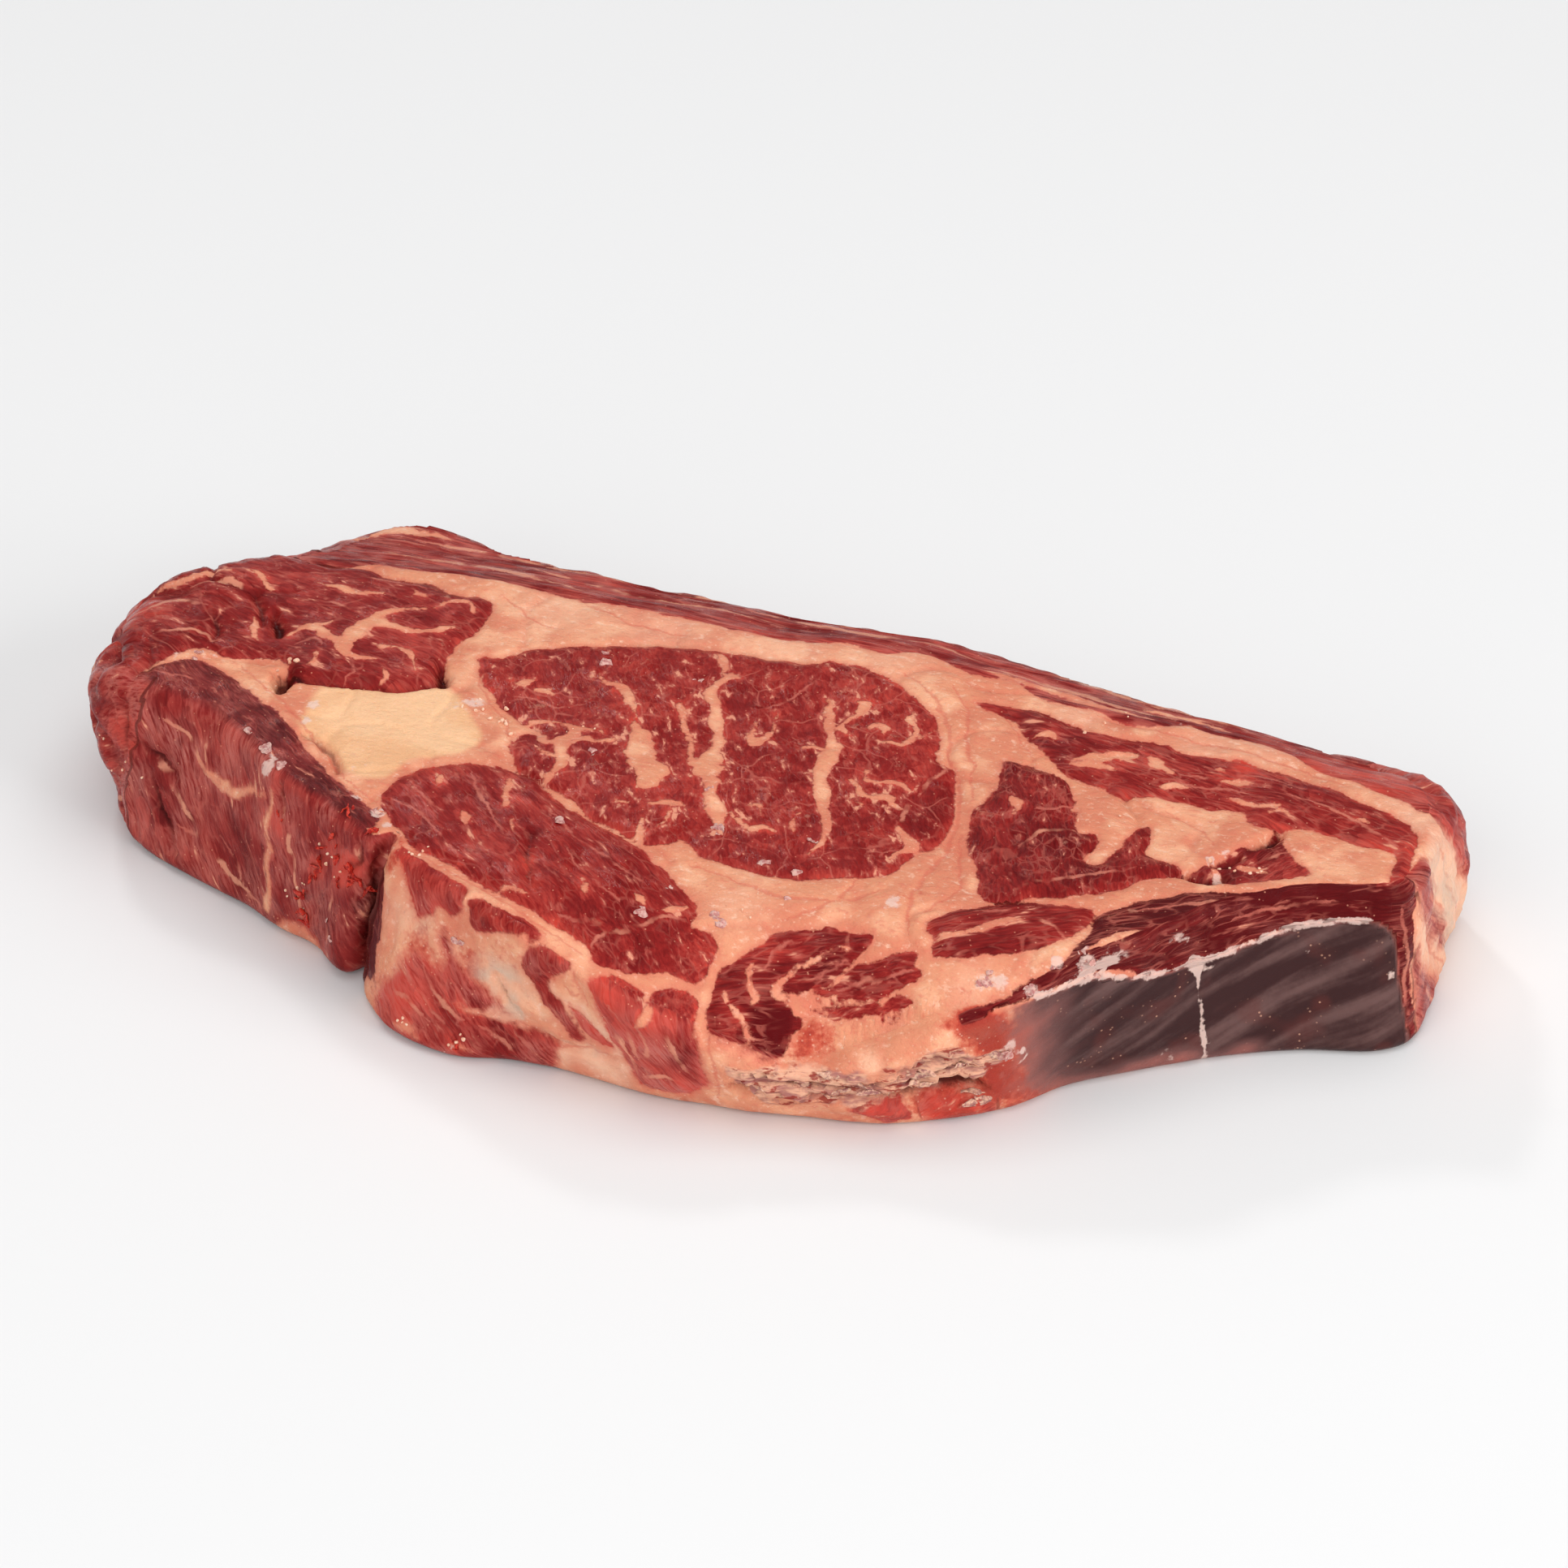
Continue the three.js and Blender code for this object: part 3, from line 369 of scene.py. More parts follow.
# the muscles that show on the sides, in millimetres along the rim and up
sideMuscles = {
    "frontLobe": {
        "rise": 0.7, "tone": 0.3, "aged": 0.05, "web": 0.2, "grain": (-62, 2), "edge": 1.3,
        "film": 0.35, "coarse": 0.6,
        "outline": [
            (0, 46), (24.4, 46), (24.2, 35.3), (22.8, 33.5), (19.9, 31), (18.5, 31.7), (16.8, 31.7),
            (14.9, 29.3), (13.2, 27.3), (11.5, 26.9), (10.3, 28.3), (8.8, 29.8), (7, 32.1), (5, 33.8),
            (3.3, 35.2), (0, 36.4)],
        "streaks": [
            [(24.2, 40, 0.8), (23.8, 36.2, 1.2), (23.6, 33.9, 1.5), (22.2, 30.3, 1.3), (21.6, 28.1, 0.6)]],
        "lines": [
            [(12, 35.6, 0.3), (14.6, 32.6, 0.7), (14.2, 29.6, 0.5)],
            [(6, 35, 0.4), (9.4, 31.6, 0.7), (11.6, 28, 0.4)]],
    },
    "middleLobe": {
        "rise": 0.7, "tone": 0.02, "aged": 0.05, "web": 0.2, "grain": (-62, 2), "edge": 1.2, "coarse": 0.6,
        "outline": [
            (24.6, 46), (42.8, 46), (42.6, 33.9), (41.7, 33), (40.4, 33.6), (38.4, 34), (35.8, 33.5),
            (32.1, 31.8), (29.9, 31.4), (27.4, 30.9), (25.6, 31.8), (24.8, 33.2)],
        "lines": [[(31, 35.6, 0.4), (33, 34, 0.7), (34.4, 32.8, 0.3)]],
    },
    "seamStrip": {
        "rise": 0.8, "tone": 0.05, "aged": 0.08, "web": 0.2, "grain": (-65, 2.5), "edge": 1.2, "film": 0.2,
        "outline": [
            (40.3, 31), (42.7, 32.8), (46, 33.4), (50.4, 31.8), (50.2, 30.7), (48.6, 28.8), (46.3, 25.9),
            (45.3, 24.6), (45.9, 23.2), (47.7, 22.2), (48.9, 19.9), (50.2, 17.6), (51.1, 14.7), (52, 12.1),
            (51.1, 11.3), (49.5, 12), (48.2, 14.1), (46.4, 16.9), (44.5, 19), (43.2, 21.4), (41.6, 23.3),
            (39.8, 24.9), (39.3, 27.1)],
        "lines": [[(42.4, 24.6, 0.4), (45.6, 20, 0.8), (48.4, 15, 0.5)]],
    },
    "pinkStrip": {
        "rise": 0.6, "tone": 0.8, "aged": 0.1, "web": 0.2, "grain": (-55, 2.5), "edge": 1.2, "film": 0.4,
        "outline": [
            (50.3, 21.2), (52.5, 20), (54.6, 18.6), (56.6, 16.4), (58.1, 14.5), (58, 12), (55.4, 12.3),
            (52.9, 14.6), (51.4, 17.8)],
    },
    "scroll": {
        "rise": 1.0, "tone": 0.65, "aged": 0.08, "web": 0.25, "grain": (-55, 2.5), "edge": 1.3,
        "film": 0.5, "coarse": 0.6,
        "outline": [
            (54.9, 28.6), (56.2, 31), (57, 46), (77.4, 46), (77.4, 22.1), (78.8, 19.5), (78.9, 15.3),
            (79.8, 11.7), (77.2, 7.6), (74.8, 5), (70.6, 4), (66.4, 3.6), (63, 4.4), (61.5, 8.2),
            (60.1, 11.5), (58.9, 16.1), (57.6, 20.9), (56.3, 25.7)],
        "streaks": [[(67.6, 33, 0.8), (68.1, 27, 1.6), (67.8, 24.8, 1.9), (66.2, 23.1, 0.8)]],
        "lines": [
            [(66, 23.4, 0.6), (67.4, 19, 0.9), (66.4, 12, 0.9), (65, 7, 0.6)],
            [(57.4, 24, 0.6), (60.4, 20, 1), (62.4, 14, 1.1), (63, 8, 0.6)],
            [(60.6, 26, 0.5), (63, 21, 0.9), (64.6, 15, 0.9), (67, 10, 0.5)],
            [(70, 23.6, 0.6), (72.4, 21, 1), (74.6, 15.6, 1), (76.4, 12.4, 0.6)],
            [(62, 6.8, 0.5), (66, 8.4, 1), (71, 10, 1), (75.4, 9.4, 0.6)]],
    },
    "foot": {
        "rise": 0.7, "tone": 0.36, "aged": 0.1, "web": 0.4, "grain": (-48, 2), "edge": 1.7, "film": 0.4,
        "outline": [
            (4, 9.1), (5.7, 11.5), (7.9, 14), (9.1, 16.5), (9.8, 18.6), (10.7, 19.9), (12.4, 20.2),
            (16.1, 19.5), (18, 19.4), (18.9, 21.4), (17.9, 23.1), (16.8, 25.5), (17.6, 27.6), (19.2, 26.1),
            (20.2, 23.6), (21.9, 21.7), (24.3, 20.1), (26.4, 18.2), (29.1, 17), (31, 15.5), (32.4, 13.2),
            (35, 11.8), (38, 10.9), (42.4, 10.5), (44.3, 9.4), (46, 8.4), (45.2, 6.3), (44.8, 3.5), (44, 0),
            (40, -4), (8, -4), (4.6, 1)],
        "streaks": [
            [(22.4, 12.8, 0.6), (26.8, 12.4, 1.2), (31, 12, 1.6), (35, 11.4, 1.5), (38.4, 11, 0.8)],
            [(8.6, 3.4, 0.5), (11.4, 3.8, 1.3), (13.6, 3, 0.5)],
            [(21, 3.2, 0.5), (23, 3.8, 1.3), (25.4, 3.4, 0.5)]],
        "lines": [
            [(6.4, 11.2, 0.5), (10.2, 10.3, 0.9), (13.3, 8.9, 0.9), (16.2, 7.6, 0.5)],
            [(13.6, 18, 0.4), (17.6, 13.6, 0.9), (20.4, 11.4, 1), (24, 9.6, 0.6)],
            [(9, 16, 0.4), (12.4, 13.4, 0.8), (17, 10, 0.8), (21, 6.6, 0.5)],
            [(28, 9, 0.5), (33, 5.4, 0.9), (38, 2, 0.5)],
            [(36, 9.4, 0.4), (40, 6, 0.8), (42.6, 3, 0.4)],
            [(22, 9, 0.4), (26, 5.4, 0.8), (29, 2, 0.4)]],
    },
    "frontEdge": {
        "rise": 0.4, "tone": 0.0, "aged": 0.3, "web": 0.25, "grain": (-20, 3), "edge": 1.4,
        "film": 0.3, "coarse": 1.5,
        "outline": [
            (79, 46), (79, 24), (81.1, 21.4), (83, 20.4), (85.1, 19.9), (87.6, 19.3), (90.3, 18.4),
            (92.9, 17.6), (94.6, 18), (95.4, 21), (95, 24.6), (94.6, 46)],
        "streaks": [[(84.6, 24.6, 0.5), (87, 22, 0.9), (88.4, 19.6, 0.5)]],
        "lines": [[(81, 23.4, 0.4), (86, 22.6, 0.8), (92, 20.6, 0.5)]],
    },
    "nub": {
        "rise": 1.2, "tone": 0.5, "aged": 0.2, "web": 0.2, "grain": (0, 1.3),
        "outline": [(108, 9), (113, 9.4), (116.5, 6.5), (117, 3), (111, 2.5), (107, 5)],
    },
    "frontFoot": {
        "rise": 0.5, "tone": 0.35, "aged": 0.0, "web": 0.4, "grain": (5, 3), "edge": 2.5, "film": 0.5,
        "outline": [(120, 6), (126, 6.4), (131, 5), (136, 2.4), (136, -3), (123, -3), (120, 2)],
        "streaks": [[(121, 5, 0.8), (127, 3.4, 1.8), (133, 2, 1.2)]],
    },
    "overSkin": {
        "rise": -0.6, "tone": -0.95, "aged": 0.15, "web": 0.1, "grain": (3, 3), "film": 0.1, "coarse": 1.3,
        "outline": [
            (130.4, 27), (135.3, 27.4), (140, 29.1), (144.5, 30.2), (150, 30.6), (158, 31.4), (165, 29.5),
            (172, 27), (180, 26), (190, 26.4), (200, 28.8), (212, 30.6), (220, 30.6), (223, 28), (224, 20),
            (224.6, 8), (226, -3), (229, -3), (228.2, 12), (228.6, 24), (229.6, 31), (229.4, 45), (150, 45),
            (136, 38), (131.4, 30)],
        "lines": [
            [(226, 33, 0.6), (226.6, 22, 0.9), (227.2, 8, 0.6)],
            [(192, 34, 0.4), (203, 34.8, 0.8), (214, 34.4, 0.4)]],
    },
    "cornerWedge": {
        "rise": 0.4, "tone": 0.1, "aged": 0.4, "web": 0.1, "grain": (-50, 5), "edge": 1.8, "film": 0.5,
        "outline": [
            (229.6, 22), (231.5, 17), (237, 11), (243, 4), (247.5, -3), (231, -3), (229.6, 8)],
        "lines": [[(231, 14, 0.6), (236, 7, 1), (241, 0, 0.8)], [(230.5, 7, 0.5), (234, 1, 0.8)]],
    },
    "cornerStrip": {
        "rise": 0.3, "tone": 0.1, "aged": 0.4, "web": 0.15, "grain": (-55, 5), "edge": 2, "film": 0.4,
        "outline": [
            (230, 41), (238, 41), (240.4, 31), (244, 22), (249, 12), (251.5, 7), (246.5, 11.5), (240, 20),
            (234, 28), (230.4, 34)],
        "lines": [[(236, 35, 0.5), (239.5, 27, 1), (244, 18, 0.8)]],
    },
    "capEnd": {
        "rise": 0.9, "tone": 0.25, "aged": 0.2, "web": 0.25, "grain": (-75, 3), "edge": 2, "film": 0.3,
        "outline": [
            (255, 41), (300, 41), (300, 20), (286, 19), (277, 13), (272, 16), (266.5, 15), (262, 20),
            (259.6, 27), (256.6, 33)],
        "lines": [[(262, 33, 0.6), (266, 26, 1), (267, 19, 0.6)]],
    },
    "backUpper": {
        "rise": 0.6, "tone": 0.1, "aged": 0.35, "web": 0.15, "grain": (0, 6), "edge": 1.5, "film": 0.4,
        "outline": [
            (286, 45), (286, 20), (300, 17.5), (340, 19), (390, 16), (430, 18.5), (480, 15.5), (520, 18),
            (545, 16), (552, 45)],
        "streaks": [
            [(330, 25, 0.8), (345, 24, 1.8), (362, 25.5, 0.8)],
            [(452, 24, 0.8), (470, 23, 1.6), (488, 24, 0.8)],
            [(518, 30, 1), (526, 31, 3), (534, 30, 3), (540, 28, 1)]],
        "lines": [
            [(296, 27, 0.6), (330, 29, 1.2), (370, 27, 1.4), (410, 29, 0.6)],
            [(380, 22, 0.6), (420, 24.5, 1.3), (460, 28, 1.3), (510, 26, 0.6)]],
    },
    "backLower": {
        "rise": 0.5, "tone": 0.05, "aged": 0.3, "web": 0.25, "grain": (0, 5), "edge": 1.5, "film": 0.35,
        "outline": [
            (282, 12), (300, 13), (330, 11.5), (372, 12.5), (420, 9.5), (462, 11.5), (505, 9), (540, 12),
            (556, 11), (556, -4), (282, -4)],
        "streaks": [[(352, 4.6, 0.8), (372, 6, 1.8), (390, 5, 0.8)]],
        "lines": [[(300, 6, 0.6), (340, 8, 1.2), (400, 5, 1.2), (450, 7, 0.6)]],
    },
    "looseEnd": {
        "rise": 0.8, "tone": 0.25, "aged": 0.15, "web": 0.5, "grain": (20, 1.5), "edge": 1.4, "film": 0.3,
        "outline": [(550, 46), (550, 14), (556, -4), (600, -4), (648, -4), (646, 12), (650, 24), (648, 46)],
        "streaks": [
            [(566, 20, 1), (574, 23, 3), (584, 22, 1.4)],
            [(604, 9, 1), (612, 12, 2.4), (620, 10, 1)]],
        "lines": [
            [(560, 8, 0.8), (580, 12, 1.3), (600, 22, 1), (618, 24, 0.6)],
            [(590, 30, 0.8), (606, 28, 1.2), (624, 18, 1), (636, 14, 0.6)],
            [(622, 8, 0.6), (634, 6, 1.1), (642, 12, 0.7)]],
    },
    "looseSide": {
        "rise": 0.4, "tone": 0.05, "aged": 0.3, "web": 0.35, "grain": (-62, 2.4), "edge": 1.5,
        "film": 0.35, "coarse": 0.7,
        "outline": [
            (643, 46), (646, 30), (643, 20), (640, 12), (641, -4), (688, -4), (693, 2.5), (703, 4.5),
            (712, 3.5), (719, -4), (745, -4), (745, 31), (733, 33.5), (729.5, 36), (728.5, 46)],
        "streaks": [
            [(691.4, 33, 0.8), (691.4, 29.4, 1.6), (691, 25.3, 2), (691.9, 21, 2), (690, 15.4, 2.2),
             (691.2, 10.6, 2.4), (688.5, 4.6, 3.4)],
            [(664, 27, 0.8), (671.6, 25.3, 1.6), (677.2, 26.4, 2.6), (683.2, 29, 1.4), (688.8, 30.9, 0.8)]],
        "lines": [
            [(655, 33, 0.9), (661, 31, 1.1), (665, 26.4, 1.3), (672, 24.4, 1.2)],
            [(653.5, 22.7, 0.9), (656.4, 20.5, 1.4), (659.6, 17.9, 1.3), (662.3, 14.4, 1.2),
             (666.3, 11, 1.3), (671.8, 8.2, 1.3), (678.9, 6, 1.2), (686, 3.4, 0.8)],
            [(695.2, 30, 1), (698.6, 28, 1.5), (699.2, 23, 1.5), (701.7, 19.6, 1.2), (703.4, 13, 1.1),
             (706, 7, 0.7)],
            [(672, 14, 0.4), (678, 9, 0.8), (682, 3, 0.8)],
            [(716.6, 20, 0.6), (717.4, 13, 1.2), (717.8, 7, 0.7)],
            [(659, 12, 0.5), (666, 10, 0.9), (669, 4, 0.6)]],
    },
    # the inner wall of the deep crease at the front: its dark tone is painted shade, and the wall is also
    # sunk in
    "crease": {
        "rise": -1.0, "tone": -0.9, "aged": 0.2, "web": 0.0, "grain": (-75, 3),
        "outline": [(-4, 30), (1.4, 29), (2.8, 20), (2.6, 12), (1.4, 5), (-4, 3)],
    },
}

# the thin dark-skinned lining of the ribs, on the front right side
lining = {
    "outline": [
        (137, 1), (136.5, 12), (138, 20), (136, 28), (150, 30), (158, 30), (165, 28), (172, 26),
        (180, 25.5), (190, 26), (200, 28.5), (210, 30), (221, 30.5), (224, 27), (225, 15), (226.6, 0),
        (224, -6), (140, -6)],
    "clearFrom": 133,         # its left end is see-through and darkens from here
    "clearTo": 164,
    "ribStep": 10.5,          # between the pale stripes where ribs lay
    "ribAngle": 27,
    "ribSwell": 0.35,
    "crack": [(183.2, 27, 0.5), (184.4, 15, 0.5), (186, 0.5, 0.5)],
}

# waxy yellow fat
wax = [
    (-98.3, -12.8), (-87.2, -9.4), (-79.4, -6.1), (-72.8, -5), (-65, -11.7), (-60, -17.2), (-60.6, -25),
    (-69.4, -31.7), (-71.7, -39.4), (-80.6, -40.6), (-85, -36.1), (-89.4, -32.2), (-93.9, -30.6),
    (-97.2, -28.3), (-98.3, -22.8)]

# the edge that has dried in layers, on the side
drySide = [
    (84, 16.5), (89.3, 16.4), (93.9, 16.6), (100.1, 17), (104.1, 17.5), (108.6, 16.4), (112.4, 17.5),
    (116.5, 18.6), (119.2, 19.4), (123.6, 21.5), (127.8, 22.6), (131, 20), (136, 18.5), (140, 18.7),
    (141.5, 16.5), (139, 14.8), (135, 13.5), (133.5, 10.5), (128, 8), (119, 7.2), (108, 7.6), (99, 6.4),
    (93, 5), (89, 8), (86, 12)]

# open gaps and tears: x, y, width, and how deep they go. The material also darkens them with painted shade
faceGaps = [
    (2.8, [(-79, 3.4, 0.6), (-77.2, -0.4, 2), (-75.4, -3.4, 0.6)]),
    (4.0, [(-110, -11, 1), (-108.4, -12.2, 3), (-107.2, -15, 2.4), (-105.8, -18, 0.6)]),
    (2.0, [(-108, -11.8, 1.8), (-103.8, -12.5, 1.3), (-99.4, -11.9, 1.1), (-94.3, -10.5, 1), (-88.2, -8.6, 1),
           (-80.6, -6.4, 0.9), (-76.4, -2.6, 1.2)]),
    (1.5, [(-127.6, 13, 0.3), (-124.6, 9.8, 1), (-122.3, 7, 1.1), (-120.2, 2.9, 0.4)]),
    (2.2, [(-120.4, 8, 0.4), (-118, 5, 1.4), (-116.2, 3, 2), (-115.4, 0.6, 0.8)]),
    (1.1, [(-132, 1.4, 0.3), (-129.9, -0.9, 1), (-128.4, -3.4, 1), (-127.6, -6.4, 0.3)]),
    (1.5, [(-94.6, -30.8, 0.7), (-88.3, -33, 1), (-82.2, -40.4, 0.7)]),
    (3.0, [(91, -11.4, 0.8), (94.4, -11.6, 2), (97.6, -9.4, 1.4)]),
    (2.4, [(98.6, -1.4, 0.5), (97.2, -3.6, 1.4), (95.4, -5.6, 0.6)]),
    (2.2, [(100.6, 3, 0.6), (103, 6.6, 1.6), (104, 9.2, 0.5)]),
    (1.0, [(70.4, 11, 0.4), (73, 7, 0.6), (76, 2.6, 0.4)]),
    (0.8, [(-36, -47.6, 0.3), (-33, -54, 0.9), (-30.4, -60, 0.8), (-27.5, -64.6, 0.3)]),
    (0.5, [(-50, 24.4, 0.2), (-41.7, 28.2, 0.5), (-33.9, 30.4, 0.5), (-21.7, 32.6, 0.4), (-8.3, 33.6, 0.3)]),
    (0.7, [(-133, -25, 0.3), (-137, -17, 0.7), (-141, -8, 0.3)]),
    (0.8, [(-140, 6, 0.3), (-134, 9, 0.7), (-129, 7, 0.3)]),
]
sideGaps = [
    (6.5, [(101, 9.4, 0.8), (106.2, 9.8, 1.6), (112, 9, 2.2), (118, 8.8, 2.8), (124, 9.2, 3.6),
           (128, 9.4, 4.2), (131, 8.8, 3.2), (133.6, 7.6, 1)]),
    (2.6, [(91, 12.8, 0.5), (97, 12.6, 1.2), (103, 13, 1), (109, 13.2, 0.6)]),
    (3.0, [(85.6, 11.2, 0.8), (87.2, 9.8, 2.4), (88.4, 8.6, 0.6)]),
    (1.8, [(112, 13.4, 0.4), (119, 13.8, 1), (126, 15.4, 1.2), (132, 15, 0.6)]),
    (1.6, [(118, 16.8, 0.4), (124, 18.4, 0.9), (130, 18, 0.5)]),
    (1.3, [(646, 25.6, 0.3), (650, 24.8, 0.8), (654, 23.6, 1.1), (658, 21, 0.3)]),
    (1.5, [(651.4, 20, 0.3), (654.4, 15, 1.1), (656.4, 10, 0.9), (658.6, 5, 0.3)]),
    (1.2, [(643.4, 32, 0.4), (644.4, 27, 1), (643.6, 22, 0.4)]),
    (1.6, [(694, 37, 0.4), (693.6, 33.6, 1), (695.4, 30.4, 0.4)]),
    (1.4, [(720, 34.5, 0.5), (721.6, 30, 1.2), (719.4, 26.6, 0.4)]),
    (1.4, [(725.4, 30, 0.4), (726.6, 20, 1), (725.6, 10, 0.4)]),
    (1.6, [(562, 17, 0.6), (570, 14, 1.8), (577, 15.4, 0.5)]),
    (1.6, [(596, 12, 0.6), (602, 16, 1.8), (606, 22, 0.5)]),
    (1.4, [(626, 26, 0.5), (630, 22, 1.4), (628, 17, 0.5)]),
    (0.9, [(31, 21.5, 0.4), (33, 17.5, 0.8), (37, 14.2, 0.4)]),
    (1.2, [(44, 9.6, 0.3), (48, 9.8, 0.7), (52.6, 8.8, 0.3)]),
    (1.2, [(183.2, 27, 0.3), (184.4, 15, 0.5), (186, 0.5, 0.3)]),
]

# pinkish folds and threads that run through the fat
faceFolds = [
    [(13, 36.4, 0.5), (22, 29.8, 0.8), (28, 21.6, 0.8), (31.4, 12.6, 0.8), (35.6, 7, 0.7), (39.4, -2, 0.8),
     (42.2, -12, 0.8), (43, -23, 0.9), (42.4, -33, 0.8), (44.4, -43, 0.7), (46.5, -49, 0.4)],
    [(24, 36, 0.4), (30, 27.5, 0.8), (33.6, 17, 0.8), (38, 9, 0.7), (41.6, 0, 0.5)],
    [(30.8, -35.8, 0.4), (29.6, -43, 0.9), (26.6, -49, 0.7), (22, -53.6, 0.4)],
    [(-2, -44.4, 0.4), (9, -46.4, 0.6), (21, -48, 1.2), (30, -44.4, 0.6), (37, -38.6, 0.4)],
    [(44, -14, 0.4), (47.4, -24, 0.8), (50.4, -33, 0.6), (47, -42, 0.4)],
    [(36, 31, 0.4), (42, 25, 0.6), (47.6, 18, 0.4)],
    [(-60, 36.6, 0.4), (-48, 33.6, 0.6), (-36, 33.8, 0.4)],
    [(-77, 33, 0.4), (-70, 28, 0.6), (-62, 26, 0.4)],
    [(-71, 5, 0.4), (-66, -3.5, 0.7), (-58.6, -10, 0.6), (-55, -16, 0.4)],
    [(56, 37, 0.4), (76, 36, 0.6), (96, 34.6, 0.6), (112, 30.4, 0.4)],
    [(80, 9, 0.3), (88, 5, 0.6), (93, 0.5, 0.4)],
    [(-118, -12.6, 0.4), (-106, -20.6, 0.7), (-94, -29.4, 0.7), (-80, -42, 0.6), (-70.5, -47, 0.4)],
    [(-56, -60.6, 0.4), (-42, -66, 0.6), (-26, -72, 0.6), (-13, -75, 0.4)],
]
sideFolds = [
    [(51.4, 30, 0.5), (52.6, 26, 0.9), (54.6, 22.6, 0.6)],
    [(49.6, 25.6, 0.4), (52, 24.2, 0.8), (53.6, 25.8, 0.4)],
    [(12, 26, 0.5), (15, 21.4, 0.9), (20, 20, 0.5)],
    [(44, 8, 0.4), (50, 9, 0.8), (56, 9.8, 0.5)],
    [(232, 37, 0.5), (235, 27, 1), (241, 15, 1), (249, 3, 0.6)],
    [(242, 36, 0.5), (245, 26, 1), (250, 14, 1), (256, 3, 0.6)],
    [(248, 35, 0.4), (251, 26, 0.8), (255, 16, 0.8), (260, 6, 0.5)],
    [(300, 15.4, 0.5), (340, 15.6, 0.8), (390, 14, 0.8), (430, 14.6, 0.5)],
    [(80, 21, 0.4), (82, 14, 0.8), (81, 6, 0.5)],
    [(139, 1.5, 0.4), (141.5, 6, 0.9), (145.5, 6.2, 0.9), (147, 2.5, 0.4)],
]

# local changes, a gaussian each: place, reach, amount
faceSpots = {
    # the dark spot at 97, -8 is painted shade in the cavity of the pocket
    "tone": [
        (26.4, -70.6, 4.4, -1), (19, -74, 3, 0.3), (44, -58, 4, 0.3), (21, -61, 4, 0.25),
        (-150, 2, 9, 0.35), (32, -57, 4, -0.3), (-32, -56.5, 1.4, 0.9), (-43, -38.4, 2.2, 0.5),
        (-42, -35.6, 1.6, -0.6), (90, 29.4, 3, 0.8), (-133, 2, 9, -0.2), (-137, -14, 7, -0.25),
        (-90, 17, 5, -0.15), (118, 38, 9, 0.6), (-48, 17, 5, 0.1), (0, -36, 10, -0.15), (60, -12, 8, -0.15),
        (103, 3, 4, -0.5), (97, -8, 3, -0.6), (70, -56, 4, -0.4), (87.8, -6.1, 1.8, -0.5),
        (64, 22.6, 4, 0.3), (-100, -30, 8, -0.2), (37, -6, 5, -0.45), (36, -14, 5, -0.4),
        (-6, -69, 6, -0.35), (100, 26, 8, -0.3), (46, 30, 6, -0.2), (-60, -52, 8, -0.15), (-30, 12, 8, 0.1),
        (-120, 20, 8, 0.2), (-88, 8, 5, 0.25)],
    "stain": [
        (33, -70.4, 2.6, 1), (36, -68.6, 2.4, 0.6), (41, -69, 4, 0.4), (56, -63, 4, 0.35),
        (60, -57, 4, 0.25), (-56, -60, 3, 0.7), (-62, -59, 4, 0.9), (34, -45, 7, 0.16), (44, -37, 5, 0.25),
        (24, -80, 4, 0.8), (-104, -10, 5, 0.3), (-112, -12, 5, 0.35), (0, 40, 14, 0.1), (11, -78, 4, 0.25),
        (60, -48, 6, 0.12), (-60, -6, 7, 0.12), (133, 6, 5, 0.12), (112, -3, 5, 0.2), (84, -13, 4, 0.25),
        (-20, -76, 6, 0.2)],
    "frost": [
        (-68, -9, 4.4, 0.55), (-78, -38, 3.4, 0.5), (-97, -21, 2, 0.7), (-96, -26, 1.6, 0.6),
        (40, -42, 2.6, 0.6), (63, -55, 2.4, 0.5), (67.4, -52.4, 2.6, 0.5), (76, -47, 1.6, 0.9),
        (84, -46, 2, 0.9), (-129, -12, 2, 0.7), (-124.6, -11.6, 1.8, 0.6), (-132.6, -14, 1.6, 0.6),
        (-68.5, -51, 1.6, 1), (-64.6, -54, 1.6, 1), (-74, -47.6, 1.4, 0.8), (11, 32.4, 2.2, 0.4),
        (9, -57, 1.8, 0.5), (-69.6, 13.6, 1.8, 0.4), (93.4, -4.4, 1.6, 0.9), (96.2, -8.8, 1.2, 1),
        (96, -1.4, 1.2, 0.8), (106, -29, 2, 0.7), (100, -35, 2, 0.7), (118, -15.6, 2, 0.7),
        (-106, -36.6, 1.5, 0.9), (-97, -42.4, 1.5, 0.9), (48, 38.6, 1.6, 0.5), (62, 36.6, 1.6, 0.5),
        (60, 10.4, 2, 0.35), (72, 44, 2.6, 0.35)],
    "pale": [
        (124, 34, 7, 0.8), (128, 22, 5, 0.6), (116, 44, 8, 0.4), (50, 36, 6, 0.4), (92, 36, 6, 0.3),
        (-118, 66, 8, 0.8), (-64, 34, 11, 0.4), (-40, 35, 10, 0.35), (-14, 37, 10, 0.35), (8, 40, 9, 0.3),
        (80, 35, 8, 0.3), (-50, -14, 4, 0.3), (12, -53, 6, 0.3), (62, -56, 4, 0.4)],
}
